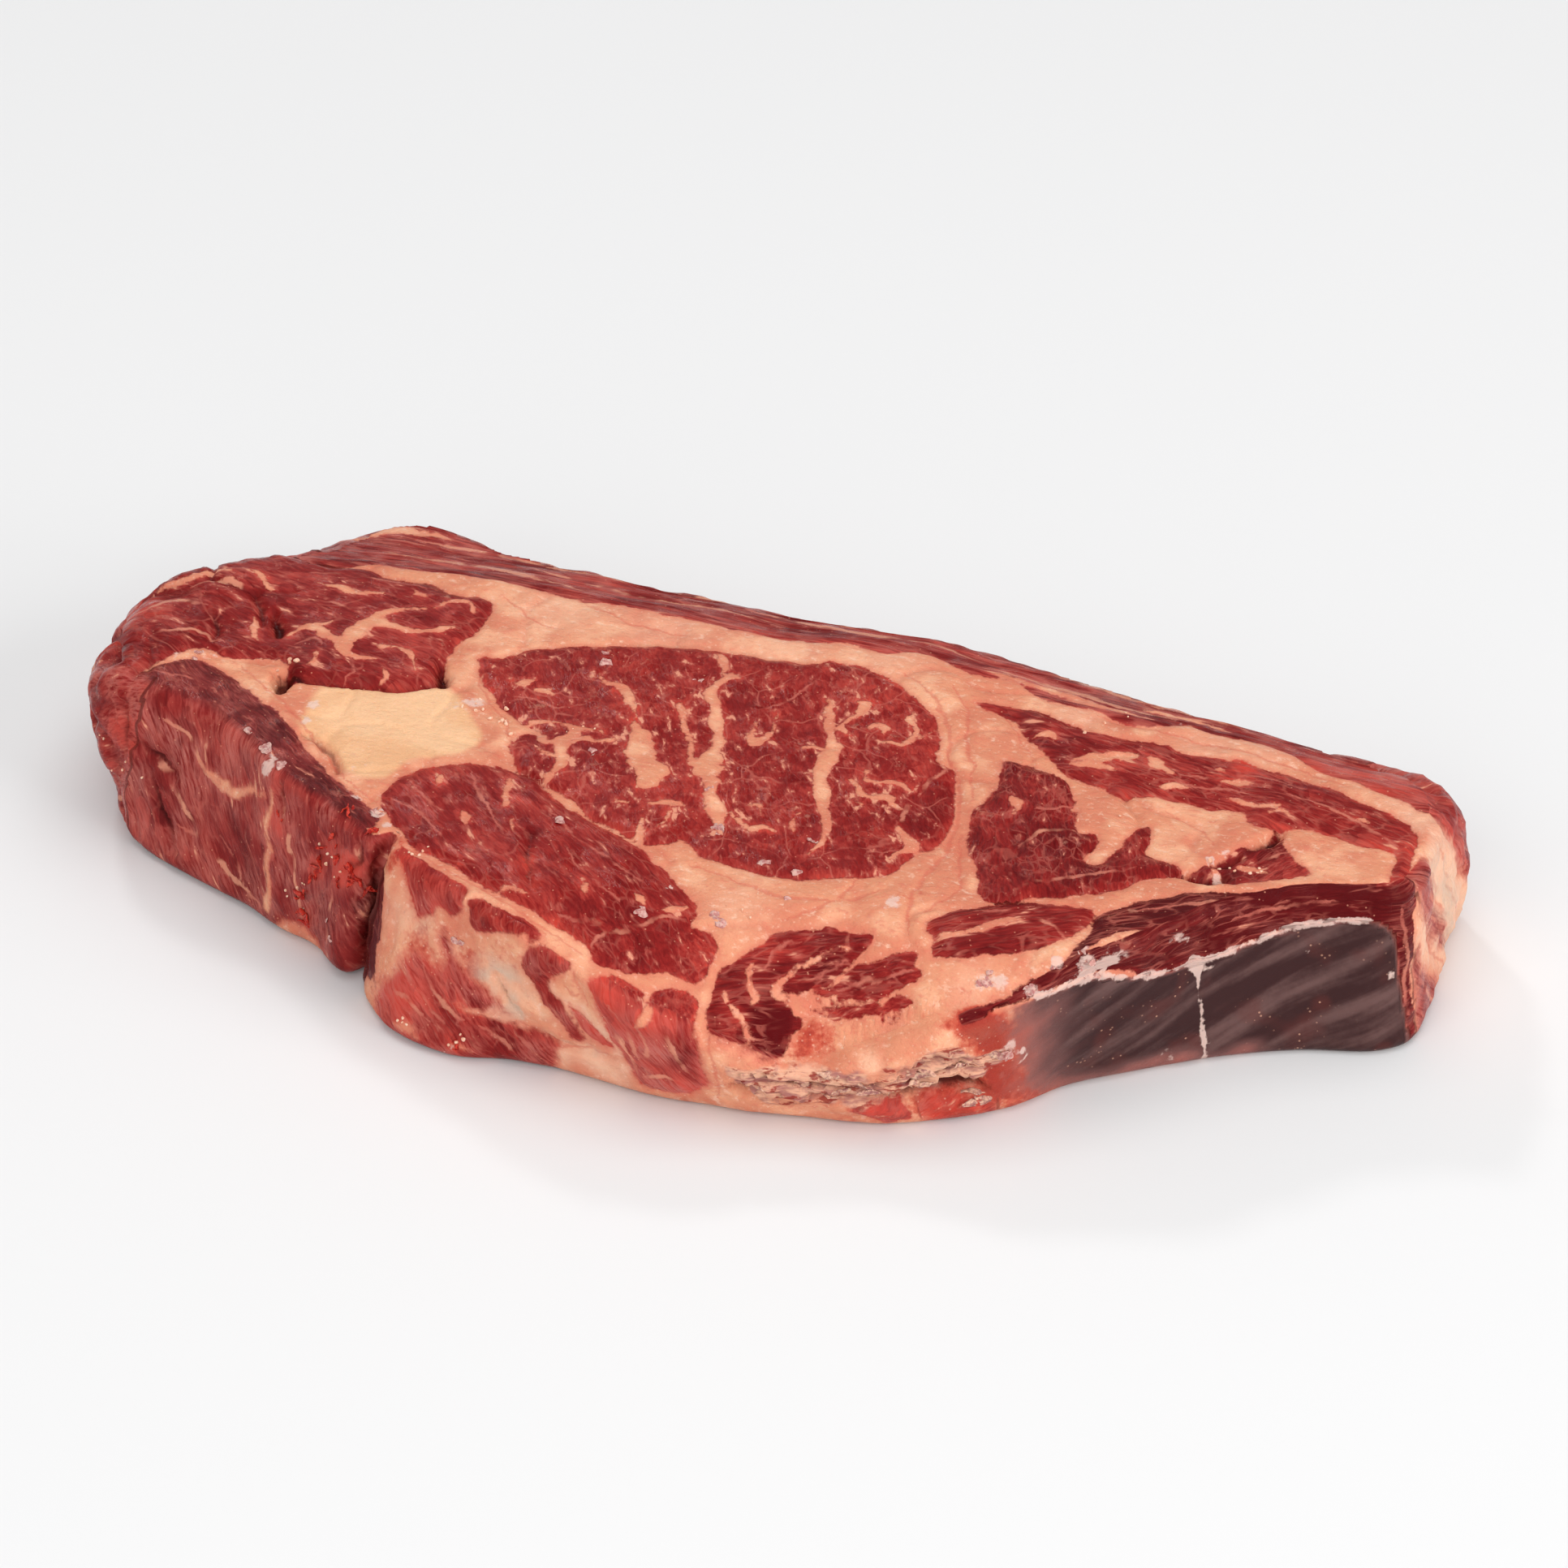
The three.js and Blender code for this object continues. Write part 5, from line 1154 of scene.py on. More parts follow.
# a colour as a screen shows it, turned into one that lamps can light
def srgb(*colour):
    linear = [c / 255 / 12.92 if c <= 10 else ((c / 255 + 0.055) / 1.055) ** 2.4 for c in colour]
    return tuple(linear) + (1,)


# gives a node its inputs: values, or sockets to link
def feed(tree, node, inputs):
    for name, value in inputs.items():
        if isinstance(value, bpy.types.NodeSocket):
            tree.links.new(value, node.inputs[name])
        else:
            node.inputs[name].default_value = value


def add(tree, kind, inputs=None, **settings):
    node = tree.nodes.new(kind)
    for name, value in settings.items():
        setattr(node, name, value)
    feed(tree, node, inputs or {})
    return node


def newMaterial(name):
    material = bpy.data.materials.new(name)
    material.use_nodes = True
    return material, material.node_tree, material.node_tree.nodes["Principled BSDF"]


def calc(tree, operation, a, b=0.0, clamp=False):
    return add(tree, "ShaderNodeMath", {0: a, 1: b}, operation=operation, use_clamp=clamp).outputs[0]


def plus(tree, a, b):
    return calc(tree, "ADD", a, b)


def times(tree, a, b):
    return calc(tree, "MULTIPLY", a, b)


def vectorCalc(tree, operation, a, b, result="Vector"):
    return add(tree, "ShaderNodeVectorMath", {0: a, 1: b}, operation=operation).outputs[result]


def resized(tree, vector, amount):
    return add(tree, "ShaderNodeVectorMath", {0: vector, "Scale": amount}, operation="SCALE").outputs[0]


def split(tree, vector):
    return add(tree, "ShaderNodeSeparateXYZ", {0: vector}).outputs


def millimetres(tree):
    return resized(tree, add(tree, "ShaderNodeTexCoord").outputs["Object"], 1 / mm)


# a random colour as a direction either side of nought
def asDirection(tree, colour):
    return vectorCalc(tree, "SUBTRACT", colour, (0.5, 0.5, 0.5))


def fade(tree, value, low, high, top=1.0):
    inputs = {"Value": value, "From Min": low, "From Max": high, "To Min": 0.0, "To Max": top}
    return add(tree, "ShaderNodeMapRange", inputs, interpolation_type="SMOOTHSTEP").outputs[0]


def blendColours(tree, share, a, b, mode="MIX"):
    return add(tree, "ShaderNodeMix", {0: share, 6: a, 7: b}, data_type="RGBA", blend_type=mode).outputs[2]


def blendValues(tree, share, a, b):
    return add(tree, "ShaderNodeMix", {0: share, 2: a, 3: b}, data_type="FLOAT").outputs[0]


def scaled(tree, vector, sx, sy, sz):
    return vectorCalc(tree, "MULTIPLY", vector, (sx, sy, sz))


# noise whose lumps are about size mm across
def cloud(tree, place, size, detail=2.0, rough=0.5, colour=False):
    inputs = {"Vector": place, "Scale": 1 / size, "Detail": detail, "Roughness": rough}
    return add(tree, "ShaderNodeTexNoise", inputs).outputs["Color" if colour else "Fac"]


# cells about size mm across
def cells(tree, place, size, feature="F1"):
    inputs = {"Vector": place, "Scale": 1 / size}
    return add(tree, "ShaderNodeTexVoronoi", inputs, feature=feature).outputs


def attribute(tree, name, vector=False):
    node = add(tree, "ShaderNodeAttribute", attribute_name=name)
    return node.outputs["Vector" if vector else "Fac"]


def stirred(tree, place, size, amount):
    noise = cloud(tree, place, size, 2, 0.5, colour=True)
    return vectorCalc(tree, "ADD", place, resized(tree, asDirection(tree, noise), amount))


# a value between 0 and 1 turned into one either side of nought
def centred(tree, value, amount):
    return times(tree, calc(tree, "SUBTRACT", value, 0.5), amount)


# how much of a thin line shows: its vector holds side distance, distance and width. Between
# two lines the side distance means nothing, there the index isn't whole.
def lineMask(tree, name, wobble, soft=0.25):
    part = split(tree, attribute(tree, name, True))
    half = times(tree, part[2], 0.5)
    inside = calc(tree, "SUBTRACT", half, calc(tree, "ABSOLUTE", plus(tree, part[0], wobble)))
    near = calc(tree, "SUBTRACT", plus(tree, half, 0.75), part[1])
    mask = times(tree, fade(tree, inside, -soft, soft), fade(tree, near, 0.0, 0.3))
    astray = calc(tree, "PINGPONG", attribute(tree, name + "Index"), 0.5)
    mask = times(tree, mask, calc(tree, "LESS_THAN", astray, 0.002))
    plain = calc(tree, "SUBTRACT", calc(tree, "SUBTRACT", half, part[1]), 0.15)
    return calc(tree, "MAXIMUM", mask, fade(tree, plain, -soft, soft)), part[2]


beef = {
    "darkLean": (90, 5, 10), "lean": (138, 30, 28), "paleLean": (169, 55, 47), "brightLean": (206, 64, 50),
    "agedDark": (60, 20, 22), "aged": (116, 46, 45), "agedPale": (168, 96, 88),
    "thread": (194, 102, 88), "marbling": (224, 150, 122), "film": (192, 118, 108),
    "fat": (226, 150, 116), "fatDeep": (216, 132, 103), "fatPale": (240, 176, 140), "fatPink": (216, 118, 97),
    "wax": (236, 179, 134), "waxPale": (243, 193, 150), "cream": (247, 203, 177),
    "stain": (196, 70, 52), "stainDeep": (156, 30, 27), "silver": (212, 180, 158), "frost": (232, 200, 188),
    "lining": (60, 36, 36), "liningRib": (104, 76, 73), "liningRed": (96, 48, 44),
    "clearRed": (176, 92, 80), "clearPink": (146, 90, 83), "clearGrey": (108, 71, 68),
    "dryCream": (226, 170, 142), "dryGrey": (172, 112, 104), "dryOrange": (224, 144, 112),
    "dryRed": (146, 44, 38),
    # gap is painted shade, multiplied into the gaps and tears
    "gap": (92, 14, 15), "fold": (208, 104, 84),
}
beef = {name: srgb(*colour) for name, colour in beef.items()}


def colourRamp(tree, value, stops):
    ramp = add(tree, "ShaderNodeValToRGB", {"Fac": value})
    marks = ramp.color_ramp.elements
    for index, (name, at) in enumerate(stops):
        mark = marks[index] if index < 2 else marks.new(at)
        mark.position = at
        mark.color = beef[name]
    return ramp.outputs["Color"]


def makeBeef():
    material, tree, shader = newMaterial("rawBeef")
    place = millimetres(tree)
    grain = attribute(tree, "grain", True)
    aged = attribute(tree, "aged")
    web = attribute(tree, "web")
    broad, patch, small = split(tree, attribute(tree, "mottle", True))
    wobble = centred(tree, cloud(tree, place, 1.5, 3, 0.6), 1.5)
    distance = plus(tree, attribute(tree, "fat"), wobble)
    fibres = cloud(tree, scaled(tree, grain, 0.42, 1, 1), 0.7, 4, 0.62)
    # where a muscle melts into the fat its edge is ragged along the fibres
    melting = calc(tree, "SUBTRACT", attribute(tree, "edge"), 1.0)
    ragged = plus(tree, centred(tree, fibres, 1.1), times(tree, small, 0.7))
    distance = plus(tree, distance, times(tree, ragged, times(tree, melting, 0.8)))
    spread = plus(tree, times(tree, melting, 0.75), 0.26)
    fatShare = fade(tree, distance, times(tree, spread, -1.0), spread)

    # lean: bundles of fibre in different reds with pale seams, threads and flecks of fat
    bent = stirred(tree, grain, 2.2, 1.3)
    strands = cells(tree, bent, 2.2)
    strandTone = split(tree, strands["Color"])[0]
    hairy = calc(tree, "SUBTRACT", times(tree, attribute(tree, "coarse"), 0.6), 0.1, True)
    tone = plus(tree, attribute(tree, "tone"), centred(tree, strandTone, 0.45))
    contrast = plus(tree, times(tree, attribute(tree, "coarse"), 0.6), 0.4)
    tone = plus(tree, tone, times(tree, centred(tree, fibres, 1.8), contrast))
    tone = plus(tree, tone, times(tree, patch, 0.2))
    tone = plus(tree, tone, fade(tree, distance, -1.6, -0.2, 0.25))
    level = fade(tree, tone, -1.2, 1.2)
    fresh = colourRamp(tree, level, (("darkLean", 0), ("lean", 0.48), ("paleLean", 0.74), ("brightLean", 1)))
    old = colourRamp(tree, level, (("agedDark", 0), ("aged", 0.5), ("agedPale", 1)))
    colour = blendColours(tree, aged, fresh, old)
    film = plus(tree, attribute(tree, "film"), times(tree, patch, 0.6))
    film = times(tree, fade(tree, film, 0.1, 1.0, 0.7), fade(tree, attribute(tree, "film"), 0.0, 0.2))
    film = times(tree, film, fade(tree, fibres, 0.36, 0.6))
    colour = blendColours(tree, film, colour, beef["film"])
    seams = cells(tree, bent, 2.2, "DISTANCE_TO_EDGE")["Distance"]
    seamShare = times(tree, fade(tree, seams, 0.1, 0.02), fade(tree, small, -0.3, 0.5, 0.6))
    net = cells(tree, stirred(tree, grain, 8, 6), 10, "DISTANCE_TO_EDGE")["Distance"]
    netShare = times(tree, fade(tree, net, 0.028, 0.006), fade(tree, patch, -0.3, 0.3, 0.7))
    netShare = times(tree, netShare, plus(tree, times(tree, web, 0.5), 0.22))
    threads = calc(tree, "ABSOLUTE", centred(tree, cloud(tree, scaled(tree, grain, 0.2, 1, 1), 1.8, 2), 1.0))
    threadShare = times(tree, fade(tree, threads, 0.024, 0.006), fade(tree, patch, 0.0, 0.5, 0.55))
    fineShare = times(tree, calc(tree, "MAXIMUM", seamShare, threadShare), hairy)
    colour = blendColours(tree, calc(tree, "MAXIMUM", netShare, fineShare), colour, beef["thread"])
    flecks = cloud(tree, stirred(tree, scaled(tree, grain, 0.7, 1, 1), 2.4, 1.6), 2.3, 3, 0.6)
    likely = plus(tree, times(tree, web, 0.05), times(tree, broad, 0.05))
    likely = plus(tree, likely, fade(tree, attribute(tree, "streak"), -3.0, 0.0, 0.05))
    flecks = plus(tree, flecks, likely)
    colour = blendColours(tree, fade(tree, flecks, 0.58, 0.7, 0.45), colour, beef["thread"])
    colour = blendColours(tree, fade(tree, flecks, 0.67, 0.75, 0.9), colour, beef["marbling"])
    grit = cells(tree, place, 1.5)
    gritSpot = fade(tree, grit["Distance"], 0.16, 0.06, 0.6)
    gritShare = times(tree, gritSpot, fade(tree, split(tree, grit["Color"])[1], 0.5, 0.6))
    colour = blendColours(tree, gritShare, colour, beef["marbling"])
    line, width = lineMask(tree, "thin", wobble)
    line = times(tree, line, fade(tree, small, -0.5, 0.1, 0.75))
    lineColour = blendColours(tree, fade(tree, width, 0.6, 1.2), beef["thread"], beef["marbling"])
    colour = blendColours(tree, line, colour, lineColour)

    # fat: warm peach, paler and pinker in patches, pinker still along its creases
    fat = blendColours(tree, fade(tree, broad, -0.4, 0.4), beef["fatDeep"], beef["fat"])
    fat = blendColours(tree, fade(tree, patch, -0.1, 0.6, 0.85), fat, beef["fatPale"])
    curd = cloud(tree, scaled(tree, place, 1, 1.5, 1), 2.2, 5, 0.68)
    fat = blendColours(tree, fade(tree, curd, 0.52, 0.7, 0.55), fat, beef["fatPink"])
    fat = blendColours(tree, fade(tree, curd, 0.46, 0.3, 0.6), fat, beef["cream"])
    fat = blendColours(tree, times(tree, attribute(tree, "crease"), 0.3), fat, beef["fold"])
    waxPatches = fade(tree, plus(tree, curd, broad), 0.1, 0.9)
    waxColour = blendColours(tree, waxPatches, beef["wax"], beef["waxPale"])
    fat = blendColours(tree, attribute(tree, "wax"), fat, waxColour)
    pale = attribute(tree, "pale")
    fat = blendColours(tree, pale, fat, blendColours(tree, curd, beef["cream"], beef["fatPale"]))
    fat = blendColours(tree, fade(tree, distance, 1.3, 0.1, 0.5), fat, beef["fatPink"])
    stain = attribute(tree, "stain")
    blotch = plus(tree, stain, times(tree, small, 0.6))
    blotch = plus(tree, blotch, centred(tree, cloud(tree, place, 1.6, 3, 0.6), 1.6))
    stainShare = times(tree, fade(tree, blotch, 0.3, 1.1, 0.85), fade(tree, stain, 0.0, 0.25))
    stainColour = blendColours(tree, fade(tree, blotch, 0.7, 1.5), beef["stain"], beef["stainDeep"])
    fat = blendColours(tree, stainShare, fat, stainColour)
    fold, _ = lineMask(tree, "fold", wobble)
    fat = blendColours(tree, times(tree, fold, 0.5), fat, beef["fold"])
    silverShare = times(tree, attribute(tree, "silver"), fade(tree, small, -0.5, 0.3))
    fat = blendColours(tree, silverShare, fat, beef["silver"])
    fat = blendColours(tree, fade(tree, grit["Distance"], 0.2, 0.08, 0.35), fat, beef["cream"])
    colour = blendColours(tree, fatShare, colour, fat)

    # the dried edge, in thin level layers
    layers = cloud(tree, scaled(tree, place, 0.16, 0.16, 1.0), 1.1, 3, 0.6)
    dry = blendColours(tree, fade(tree, layers, 0.38, 0.58), beef["dryGrey"], beef["dryCream"])
    dry = blendColours(tree, fade(tree, patch, 0.0, 0.5, 0.75), dry, beef["dryOrange"])
    dry = blendColours(tree, fade(tree, curd, 0.5, 0.36, 0.5), dry, beef["dryGrey"])
    red = fade(tree, cloud(tree, scaled(tree, place, 0.4, 0.4, 1), 1.6, 4, 0.6), 0.54, 0.62, 0.85)
    dry = blendColours(tree, red, dry, beef["dryRed"])
    dryEdge = plus(tree, attribute(tree, "dry"), times(tree, small, 0.5))
    dryShare = fade(tree, plus(tree, dryEdge, times(tree, wobble, 0.4)), 0.3, 0.75)
    colour = blendColours(tree, dryShare, colour, dry)

    # the lining of the ribs: a taut dark film with paler stripes, clear at one end
    skinAmount = attribute(tree, "skin")
    stripes = plus(tree, cloud(tree, grain, 4.8, 3, 0.5), times(tree, wobble, 0.08))
    lining = blendColours(tree, fade(tree, stripes, 0.4, 0.72), beef["lining"], beef["liningRib"])
    lining = blendColours(tree, fade(tree, patch, 0.1, 0.7, 0.5), lining, beef["liningRed"])
    darkening = plus(tree, skinAmount, centred(tree, stripes, 0.6))
    darkening = plus(tree, darkening, times(tree, small, 0.1))
    clear = colourRamp(tree, darkening, (("clearRed", 0.08), ("clearPink", 0.3), ("clearGrey", 0.56)))
    lining = blendColours(tree, fade(tree, darkening, 0.45, 0.9), clear, lining)
    cover = plus(tree, skinAmount, times(tree, wobble, times(tree, skinAmount, 0.5)))
    cover = plus(tree, cover, times(tree, small, times(tree, skinAmount, 0.6)))
    colour = blendColours(tree, fade(tree, cover, 0.02, 0.24), colour, lining)
    speckShare = times(tree, fade(tree, grit["Distance"], 0.2, 0.1), fade(tree, patch, 0.1, 0.5, 0.5))
    colour = blendColours(tree, times(tree, speckShare, skinAmount), colour, beef["dryCream"])

    # a whitish bloom where the surface has been scraped or has dried
    bloom = plus(tree, attribute(tree, "frost"), times(tree, small, 0.5))
    bloom = plus(tree, bloom, times(tree, wobble, 0.8))
    frosted = fade(tree, bloom, 0.42, 0.72)
    frostShare = times(tree, frosted, fade(tree, attribute(tree, "frost"), 0.05, 0.4, 0.72))
    colour = blendColours(tree, frostShare, colour, beef["frost"])
    # painted shade: the gaps and tears are darkened on top of their real depth
    gapPaintedShade, gapWidth = lineMask(tree, "gap", wobble, 0.5)
    gapPaintedShade = times(tree, gapPaintedShade, fade(tree, gapWidth, 0.2, 1.6, 0.9))
    colour = blendColours(tree, gapPaintedShade, colour, beef["gap"], "MULTIPLY")

    # wet lean shines in patches, fat is softer, dried edges are dull
    wet = blendValues(tree, fade(tree, small, -0.3, 0.4), 0.44, 0.18)
    shine = blendValues(tree, fatShare, wet, blendValues(tree, fade(tree, curd, 0.4, 0.6), 0.3, 0.46))
    shine = blendValues(tree, skinAmount, shine, 0.3)
    shine = blendValues(tree, dryShare, shine, 0.8)
    shine = blendValues(tree, frostShare, shine, 0.62)
    feed(tree, shader, {
        "Base Color": colour, "Roughness": shine, "IOR": 1.4, "Specular IOR Level": 0.1,
        "Subsurface Weight": 0.12, "Subsurface Radius": (1.0, 0.36, 0.24), "Subsurface Scale": 0.003})

    # fine relief in millimetres: each bundle was cut at its own slant
    fromMiddle = vectorCalc(tree, "SUBTRACT", bent, strands["Position"])
    slant = asDirection(tree, strands["Color"])
    facet = vectorCalc(tree, "DOT_PRODUCT", fromMiddle, slant, "Value")
    leanHeight = plus(tree, times(tree, fibres, 0.34), times(tree, facet, 0.3))
    leanHeight = times(tree, leanHeight, attribute(tree, "coarse"))
    height = blendValues(tree, fatShare, leanHeight, times(tree, curd, 0.8))
    height = blendValues(tree, skinAmount, height, times(tree, stripes, 0.5))
    height = blendValues(tree, dryShare, height, times(tree, layers, 1.0))
    bump = add(tree, "ShaderNodeBump", {"Height": height, "Strength": 0.8, "Distance": mm})
    feed(tree, shader, {"Normal": bump.outputs["Normal"]})
    return material


# stores numbers or vectors on a mesh, for its material or tree to read
def writeLayer(mesh, name, values, domain="POINT"):
    isVector = values.ndim == 2
    layer = mesh.attributes.new(name, "FLOAT_VECTOR" if isVector else "FLOAT", domain)
    layer.data.foreach_set("vector" if isVector else "value", values.astype(np.float32).ravel())


def makeSteak():
    mesh = bpy.data.meshes.new("steakMeat")
    faces = skin["quads"].tolist() + skin["triangles"].tolist()
    mesh.from_pydata(toWorld(shape).tolist(), [], faces)
    for name in ("fat", "edge", "tone", "aged", "web", "film", "wax", "stain", "silver", "frost", "dry",
                 "skin", "pale", "crease", "coarse", "streak", "thinIndex", "foldIndex", "gapIndex",
                 "mottle", "thin", "fold", "gap"):
        writeLayer(mesh, name, tissue[name])
    # the fibres turn at the rim, so the first row of the side takes its own direction up to the edge
    corners = tissue["grain"][np.concatenate([skin["quads"].ravel(), skin["triangles"].ravel()])]
    firstRow = corners[:skin["count"] * 4].reshape(-1, 4, 3)
    firstRow[:, 3] = tissue["edgeGrain"]
    firstRow[:, 2] = np.roll(tissue["edgeGrain"], -1, axis=0)
    writeLayer(mesh, "grain", corners, "CORNER")
    mesh.polygons.foreach_set("use_smooth", [True] * len(mesh.polygons))
    mesh.update()
    steak = addObject("steakMeat", mesh)
    mesh.materials.append(makeBeef())
    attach(steak, "root")
    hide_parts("steak")


makeSteak()
print("steak made")

# small loose bits that cling to the surface. Sizes in mm. A place is x, y, reach, count,
# size, on the face, or the way along the rim, height, reach, count, size on the side.
bits = {
    "fatCrumbs": {
        "smallest": 0.5, "largest": 1.1, "bend": 0.45, "tilt": 3.0, "turn": 3.1, "sink": 0.1,
        "seed": 3, "slot": "fat",
        "flat": (1.0, 1.0, 0.8), "colours": ((228, 164, 134), (246, 206, 180)), "shine": 0.4,
        "face": [
            (-58, -11, 3, 7, 1), (-66, -9, 4, 6, 0.8), (97, -6, 2.4, 6, 1), (104, -4.6, 2, 4, 0.8),
            (-110, -9, 4, 6, 1), (-40, -9, 4, 4, 0.7), (70, 0, 5, 3, 0.6), (-56, -60, 3, 5, 0.8),
            (12, -52, 5, 4, 0.6), (60, 36, 8, 4, 0.7)],
        "side": [
            (11, 4.6, 2, 4, 1), (22.4, 4.4, 2, 4, 1), (714, 26, 4, 6, 0.8), (700, 14, 8, 6, 0.6),
            (640, 20, 8, 6, 0.8)],
    },
    "filmScraps": {
        "smallest": 0.7, "largest": 1.2, "bend": 0.9, "tilt": 0.12, "turn": 3.1, "sink": 0.0,
        "seed": 11, "slot": "fat",
        "flat": (1.0, 0.75, 0.12), "colours": ((180, 112, 108), (218, 172, 160)), "shine": 0.34,
        "face": [
            (-47, 15, 1, 1, 3.6), (-27, 17, 1, 1, 2.8), (-35.5, -15.8, 1, 1, 2.6), (-2, -31, 1, 2, 3),
            (-9.5, -20, 1, 1, 2), (17.5, -28, 1, 1, 2.6), (11, -39, 1, 2, 2.4), (18.6, -40, 1, 1, 2.2),
            (-31, -41, 1, 1, 2.6), (-5, -62, 1, 1, 3.4), (-2.5, -52.5, 1, 1, 2.6), (9.5, -57.5, 1, 2, 3),
            (20, -48, 1, 1, 2), (-48, 20, 0.6, 1, 2), (64, -54, 3, 4, 2), (76, -47, 1.6, 2, 2),
            (84, -45, 2, 2, 2), (-129, -12.4, 2.6, 3, 2), (-68, -51, 1.6, 3, 2.4), (-100, -40.6, 2, 3, 2.8),
            (-106, -36.6, 1.4, 2, 2.2), (-94, -45, 1.2, 2, 2.4)],
        "side": [
            (146, 32, 2, 3, 2), (158, 33, 3, 4, 1.8), (717, 11, 2, 2, 2.4), (21, 26, 1.6, 2, 2),
            (139.4, 16.8, 1, 3, 4)],
    },
    "driedFlakes": {
        "smallest": 0.6, "largest": 1.5, "bend": 0.9, "tilt": 0.35, "turn": 0.3, "sink": 0.0,
        "seed": 19, "slot": "fat",
        "flat": (1.9, 0.5, 0.14), "colours": ((156, 100, 96), (228, 180, 154)), "shine": 0.6,
        "side": [
            (90, 13, 4, 3, 1.8), (98, 13, 4, 4, 2.2), (106, 13, 4, 5, 2.4), (114, 13.4, 4, 5, 2.4),
            (122, 14, 4, 6, 2.6), (129, 15, 3, 4, 2.6), (131.4, 6, 2, 3, 2.6), (136, 17, 2, 2, 2.6)],
    },
    "redShreds": {
        "smallest": 0.5, "largest": 1.2, "bend": 1.3, "tilt": 0.6, "turn": 3.1, "sink": 0.0,
        "seed": 29, "slot": "lean_meat",
        "flat": (1.7, 0.4, 0.3), "colours": ((150, 28, 24), (206, 62, 46)), "shine": 0.3,
        "face": [(-66, -58, 2, 3, 2), (-74, -52.4, 3, 3, 1.8)],
        "side": [
            (710, 22.4, 2, 4, 3.6), (718, 26, 2.4, 5, 3.4), (713, 29, 2.4, 3, 2.6), (705, 13, 2.4, 3, 2.4),
            (707, 8, 2, 3, 2.4), (696, 28, 2, 2, 2), (722, 22, 3, 3, 2), (21, 4.6, 1.4, 4, 1.8)],
    },
}


# the skin points nearest to random spots round the listed places, and how a bit lies on each
def placeBits(spec):
    chance = np.random.default_rng(spec["seed"])
    normals = normalsOf(shape, skin["quads"], skin["triangles"])
    onSide = np.column_stack([skin["along"], skin["points"][:, 2]])
    spotsFound, turns, sizes = [], [], []
    for kind, flat in (("face", skin["points"][:, :2]), ("side", onSide)):
        fits = np.flatnonzero(skin["isSide"][:skin["firstFoot"]] == (kind == "side"))
        for x, y, reach, count, size in spec.get(kind, []):
            for _ in range(count):
                target = np.array([x, y]) + chance.normal(0, reach * 0.5, 2)
                index = fits[np.argmin(((flat[fits] - target) ** 2).sum(1))]
                turn = Vector(normals[index]).to_track_quat("Z", "Y").to_euler()
                spotsFound.append(shape[index] + normals[index] * spec["sink"] * size)
                turns.append(tuple(turn))
                sizes.append(size)
    return np.array(spotsFound), np.array(turns), np.array(sizes)


# a tree that puts a small lump, flattened to a scrap, on each point and crumples it
def bitTree(name, spec, material):
    tree = bpy.data.node_groups.new(name, "GeometryNodeTree")
    tree.interface.new_socket("Geometry", in_out="INPUT", socket_type="NodeSocketGeometry")
    tree.interface.new_socket("Geometry", in_out="OUTPUT", socket_type="NodeSocketGeometry")
    for label in ("Smallest", "Largest", "Bend", "Tilt", "Turn"):
        socket = tree.interface.new_socket(label, in_out="INPUT", socket_type="NodeSocketFloat")
        socket.default_value = spec[label.lower()]
    socket = tree.interface.new_socket("Seed", in_out="INPUT", socket_type="NodeSocketInt")
    socket.default_value = spec["seed"]
    source = add(tree, "NodeGroupInput").outputs
    ball = add(tree, "GeometryNodeMeshIcoSphere", {"Radius": 0.5 * mm, "Subdivisions": 3}).outputs["Mesh"]
    piece = add(tree, "GeometryNodeTransform", {"Geometry": ball, "Scale": spec["flat"]}).outputs[0]
    turn = add(tree, "GeometryNodeInputNamedAttribute", {"Name": "turn"}, data_type="FLOAT_VECTOR").outputs[0]
    size = add(tree, "GeometryNodeInputNamedAttribute", {"Name": "size"}, data_type="FLOAT").outputs[0]
    base = add(tree, "FunctionNodeEulerToRotation", {0: turn}).outputs[0]
    lean = times(tree, source["Tilt"], -1.0)
    back = times(tree, source["Turn"], -1.0)
    low = add(tree, "ShaderNodeCombineXYZ", {0: lean, 1: lean, 2: back}).outputs[0]
    tilt, seed = source["Tilt"], source["Seed"]
    high = add(tree, "ShaderNodeCombineXYZ", {0: tilt, 1: tilt, 2: source["Turn"]}).outputs[0]
    spin = add(tree, "FunctionNodeRandomValue", {0: low, 1: high, "Seed": seed}, data_type="FLOAT_VECTOR")
    spun = add(tree, "FunctionNodeEulerToRotation", {0: spin.outputs[0]}).outputs[0]
    whole = add(tree, "FunctionNodeRotateRotation", {0: base, 1: spun}, rotation_space="LOCAL").outputs[0]
    sizes = {2: source["Smallest"], 3: source["Largest"], "Seed": seed}
    grow = add(tree, "FunctionNodeRandomValue", sizes, data_type="FLOAT").outputs[1]
    grow = times(tree, grow, size)
    placed = add(tree, "GeometryNodeInstanceOnPoints", {
        "Points": source["Geometry"], "Instance": piece, "Rotation": whole, "Scale": grow}).outputs[0]
    real = add(tree, "GeometryNodeRealizeInstances", {0: placed}).outputs[0]
    at = add(tree, "GeometryNodeInputPosition").outputs[0]
    noise = add(tree, "ShaderNodeTexNoise", {"Vector": at, "Scale": 600.0, "Detail": 1.0}).outputs["Color"]
    push = asDirection(tree, noise)
    push = resized(tree, push, times(tree, source["Bend"], 2 * mm))
    crumpled = add(tree, "GeometryNodeSetPosition", {"Geometry": real, "Offset": push}).outputs[0]
    soft = add(tree, "GeometryNodeSetShadeSmooth", {0: crumpled}).outputs[0]
    done = add(tree, "GeometryNodeSetMaterial", {"Geometry": soft, "Material": material}).outputs[0]
    add(tree, "NodeGroupOutput", {0: done})
    return tree


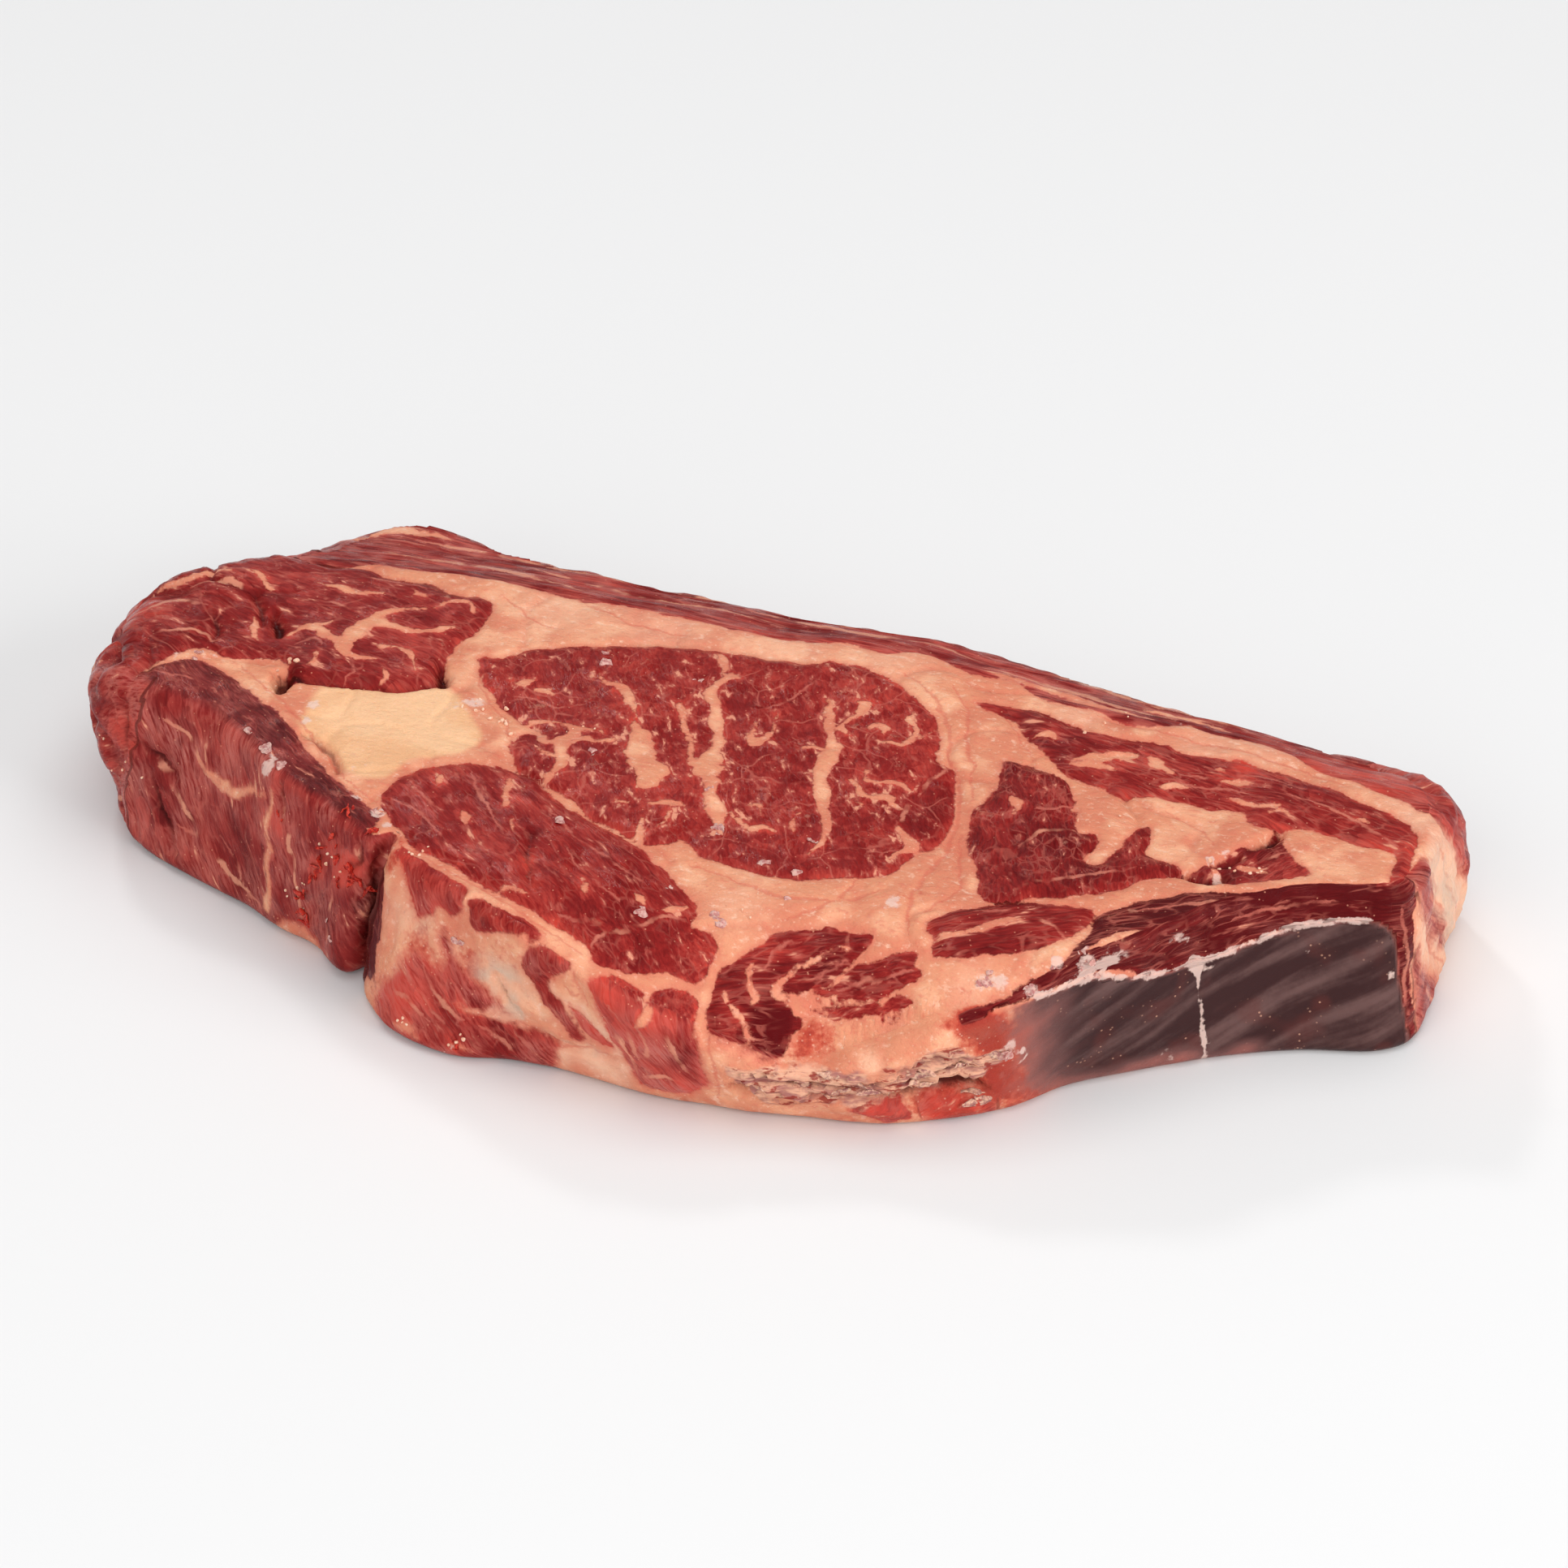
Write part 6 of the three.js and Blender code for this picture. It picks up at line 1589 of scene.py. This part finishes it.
def bitMaterial(name, spec):
    material, tree, shader = newMaterial(name)
    grainy = cloud(tree, millimetres(tree), 0.9, 4, 0.6)
    dark, light = (srgb(*colour) for colour in spec["colours"])
    colour = blendColours(tree, fade(tree, grainy, 0.36, 0.62), dark, light)
    rough = fade(tree, grainy, 0.3, 0.7, spec["shine"] * 1.5)
    bump = add(tree, "ShaderNodeBump", {"Height": grainy, "Strength": 0.6, "Distance": 0.3 * mm})
    feed(tree, shader, {
        "Base Color": colour, "Roughness": rough, "Normal": bump.outputs["Normal"],
        "Specular IOR Level": 0.15, "Subsurface Weight": 0.2, "Subsurface Radius": (1.0, 0.4, 0.3),
        "Subsurface Scale": 0.001})
    return material


def makeBits(name, spec):
    found, turns, sizes = placeBits(spec)
    points = bpy.data.meshes.new(name + "Points")
    points.from_pydata(toWorld(found).tolist(), [], [])
    writeLayer(points, "turn", turns)
    writeLayer(points, "size", sizes)
    seeds = addObject(name + "Points", points)
    modifier = seeds.modifiers.new("scatter", "NODES")
    modifier.node_group = bitTree(name, spec, bitMaterial(name, spec))
    for item in modifier.node_group.interface.items_tree:
        if item.in_out == "INPUT" and item.name.lower() in spec:
            modifier[item.identifier] = spec[item.name.lower()]
    ready = seeds.evaluated_get(bpy.context.evaluated_depsgraph_get())
    mesh = bpy.data.meshes.new_from_object(ready)
    mesh.name = name
    bpy.data.objects.remove(seeds)
    piece = addObject(name, mesh)
    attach(piece, "root")
    print(name, len(mesh.polygons), "faces")


for name, spec in bits.items():
    makeBits(name, spec)

surround = 0.34
lamps = {
    "top": {"at": (0.2, 0.1, 1.9), "size": 1.8, "power": 15.6},
    "front": {"at": (0.0, -1.9, 1.1), "size": 1.8, "power": 22.4},
    "right": {"at": (2.0, -0.4, 0.9), "size": 1.2, "power": 26},
    "back": {"at": (-1.2, 1.3, 1.5), "size": 0.25, "power": 8},
}


def lightStudio():
    world = bpy.data.worlds.new("studio")
    world.use_nodes = True
    feed(world.node_tree, world.node_tree.nodes["Background"], {"Color": (1, 1, 1, 1), "Strength": surround})
    bpy.context.scene.world = world
    for name, spec in lamps.items():
        data = bpy.data.lights.new(name, "AREA")
        data.size = spec["size"]
        data.energy = spec["power"]
        lamp = addObject(name, data)
        lamp.location = spec["at"]
        lamp.rotation_euler = (-lamp.location).to_track_quat("-Z", "Y").to_euler()
    bpy.context.scene.view_settings.view_transform = "Standard"


def layFloor():
    mesh = bpy.data.meshes.new("floor")
    mesh.from_pydata([(-6, -6, 0), (6, -6, 0), (6, 6, 0), (-6, 6, 0)], [], [(0, 1, 2, 3)])
    floor = addObject("floor", mesh)
    paper, tree, shader = newMaterial("paper")
    place = add(tree, "ShaderNodeTexCoord").outputs["Object"]
    tint = add(tree, "ShaderNodeTexNoise", {"Vector": place, "Scale": 0.8, "Detail": 2.0}).outputs["Fac"]
    colour = blendColours(tree, tint, (0.8, 0.8, 0.805, 1), (0.815, 0.815, 0.815, 1))
    feed(tree, shader, {"Base Color": colour, "Roughness": 0.7, "Specular IOR Level": 0.1})
    mesh.materials.append(paper)


layFloor()
lightStudio()
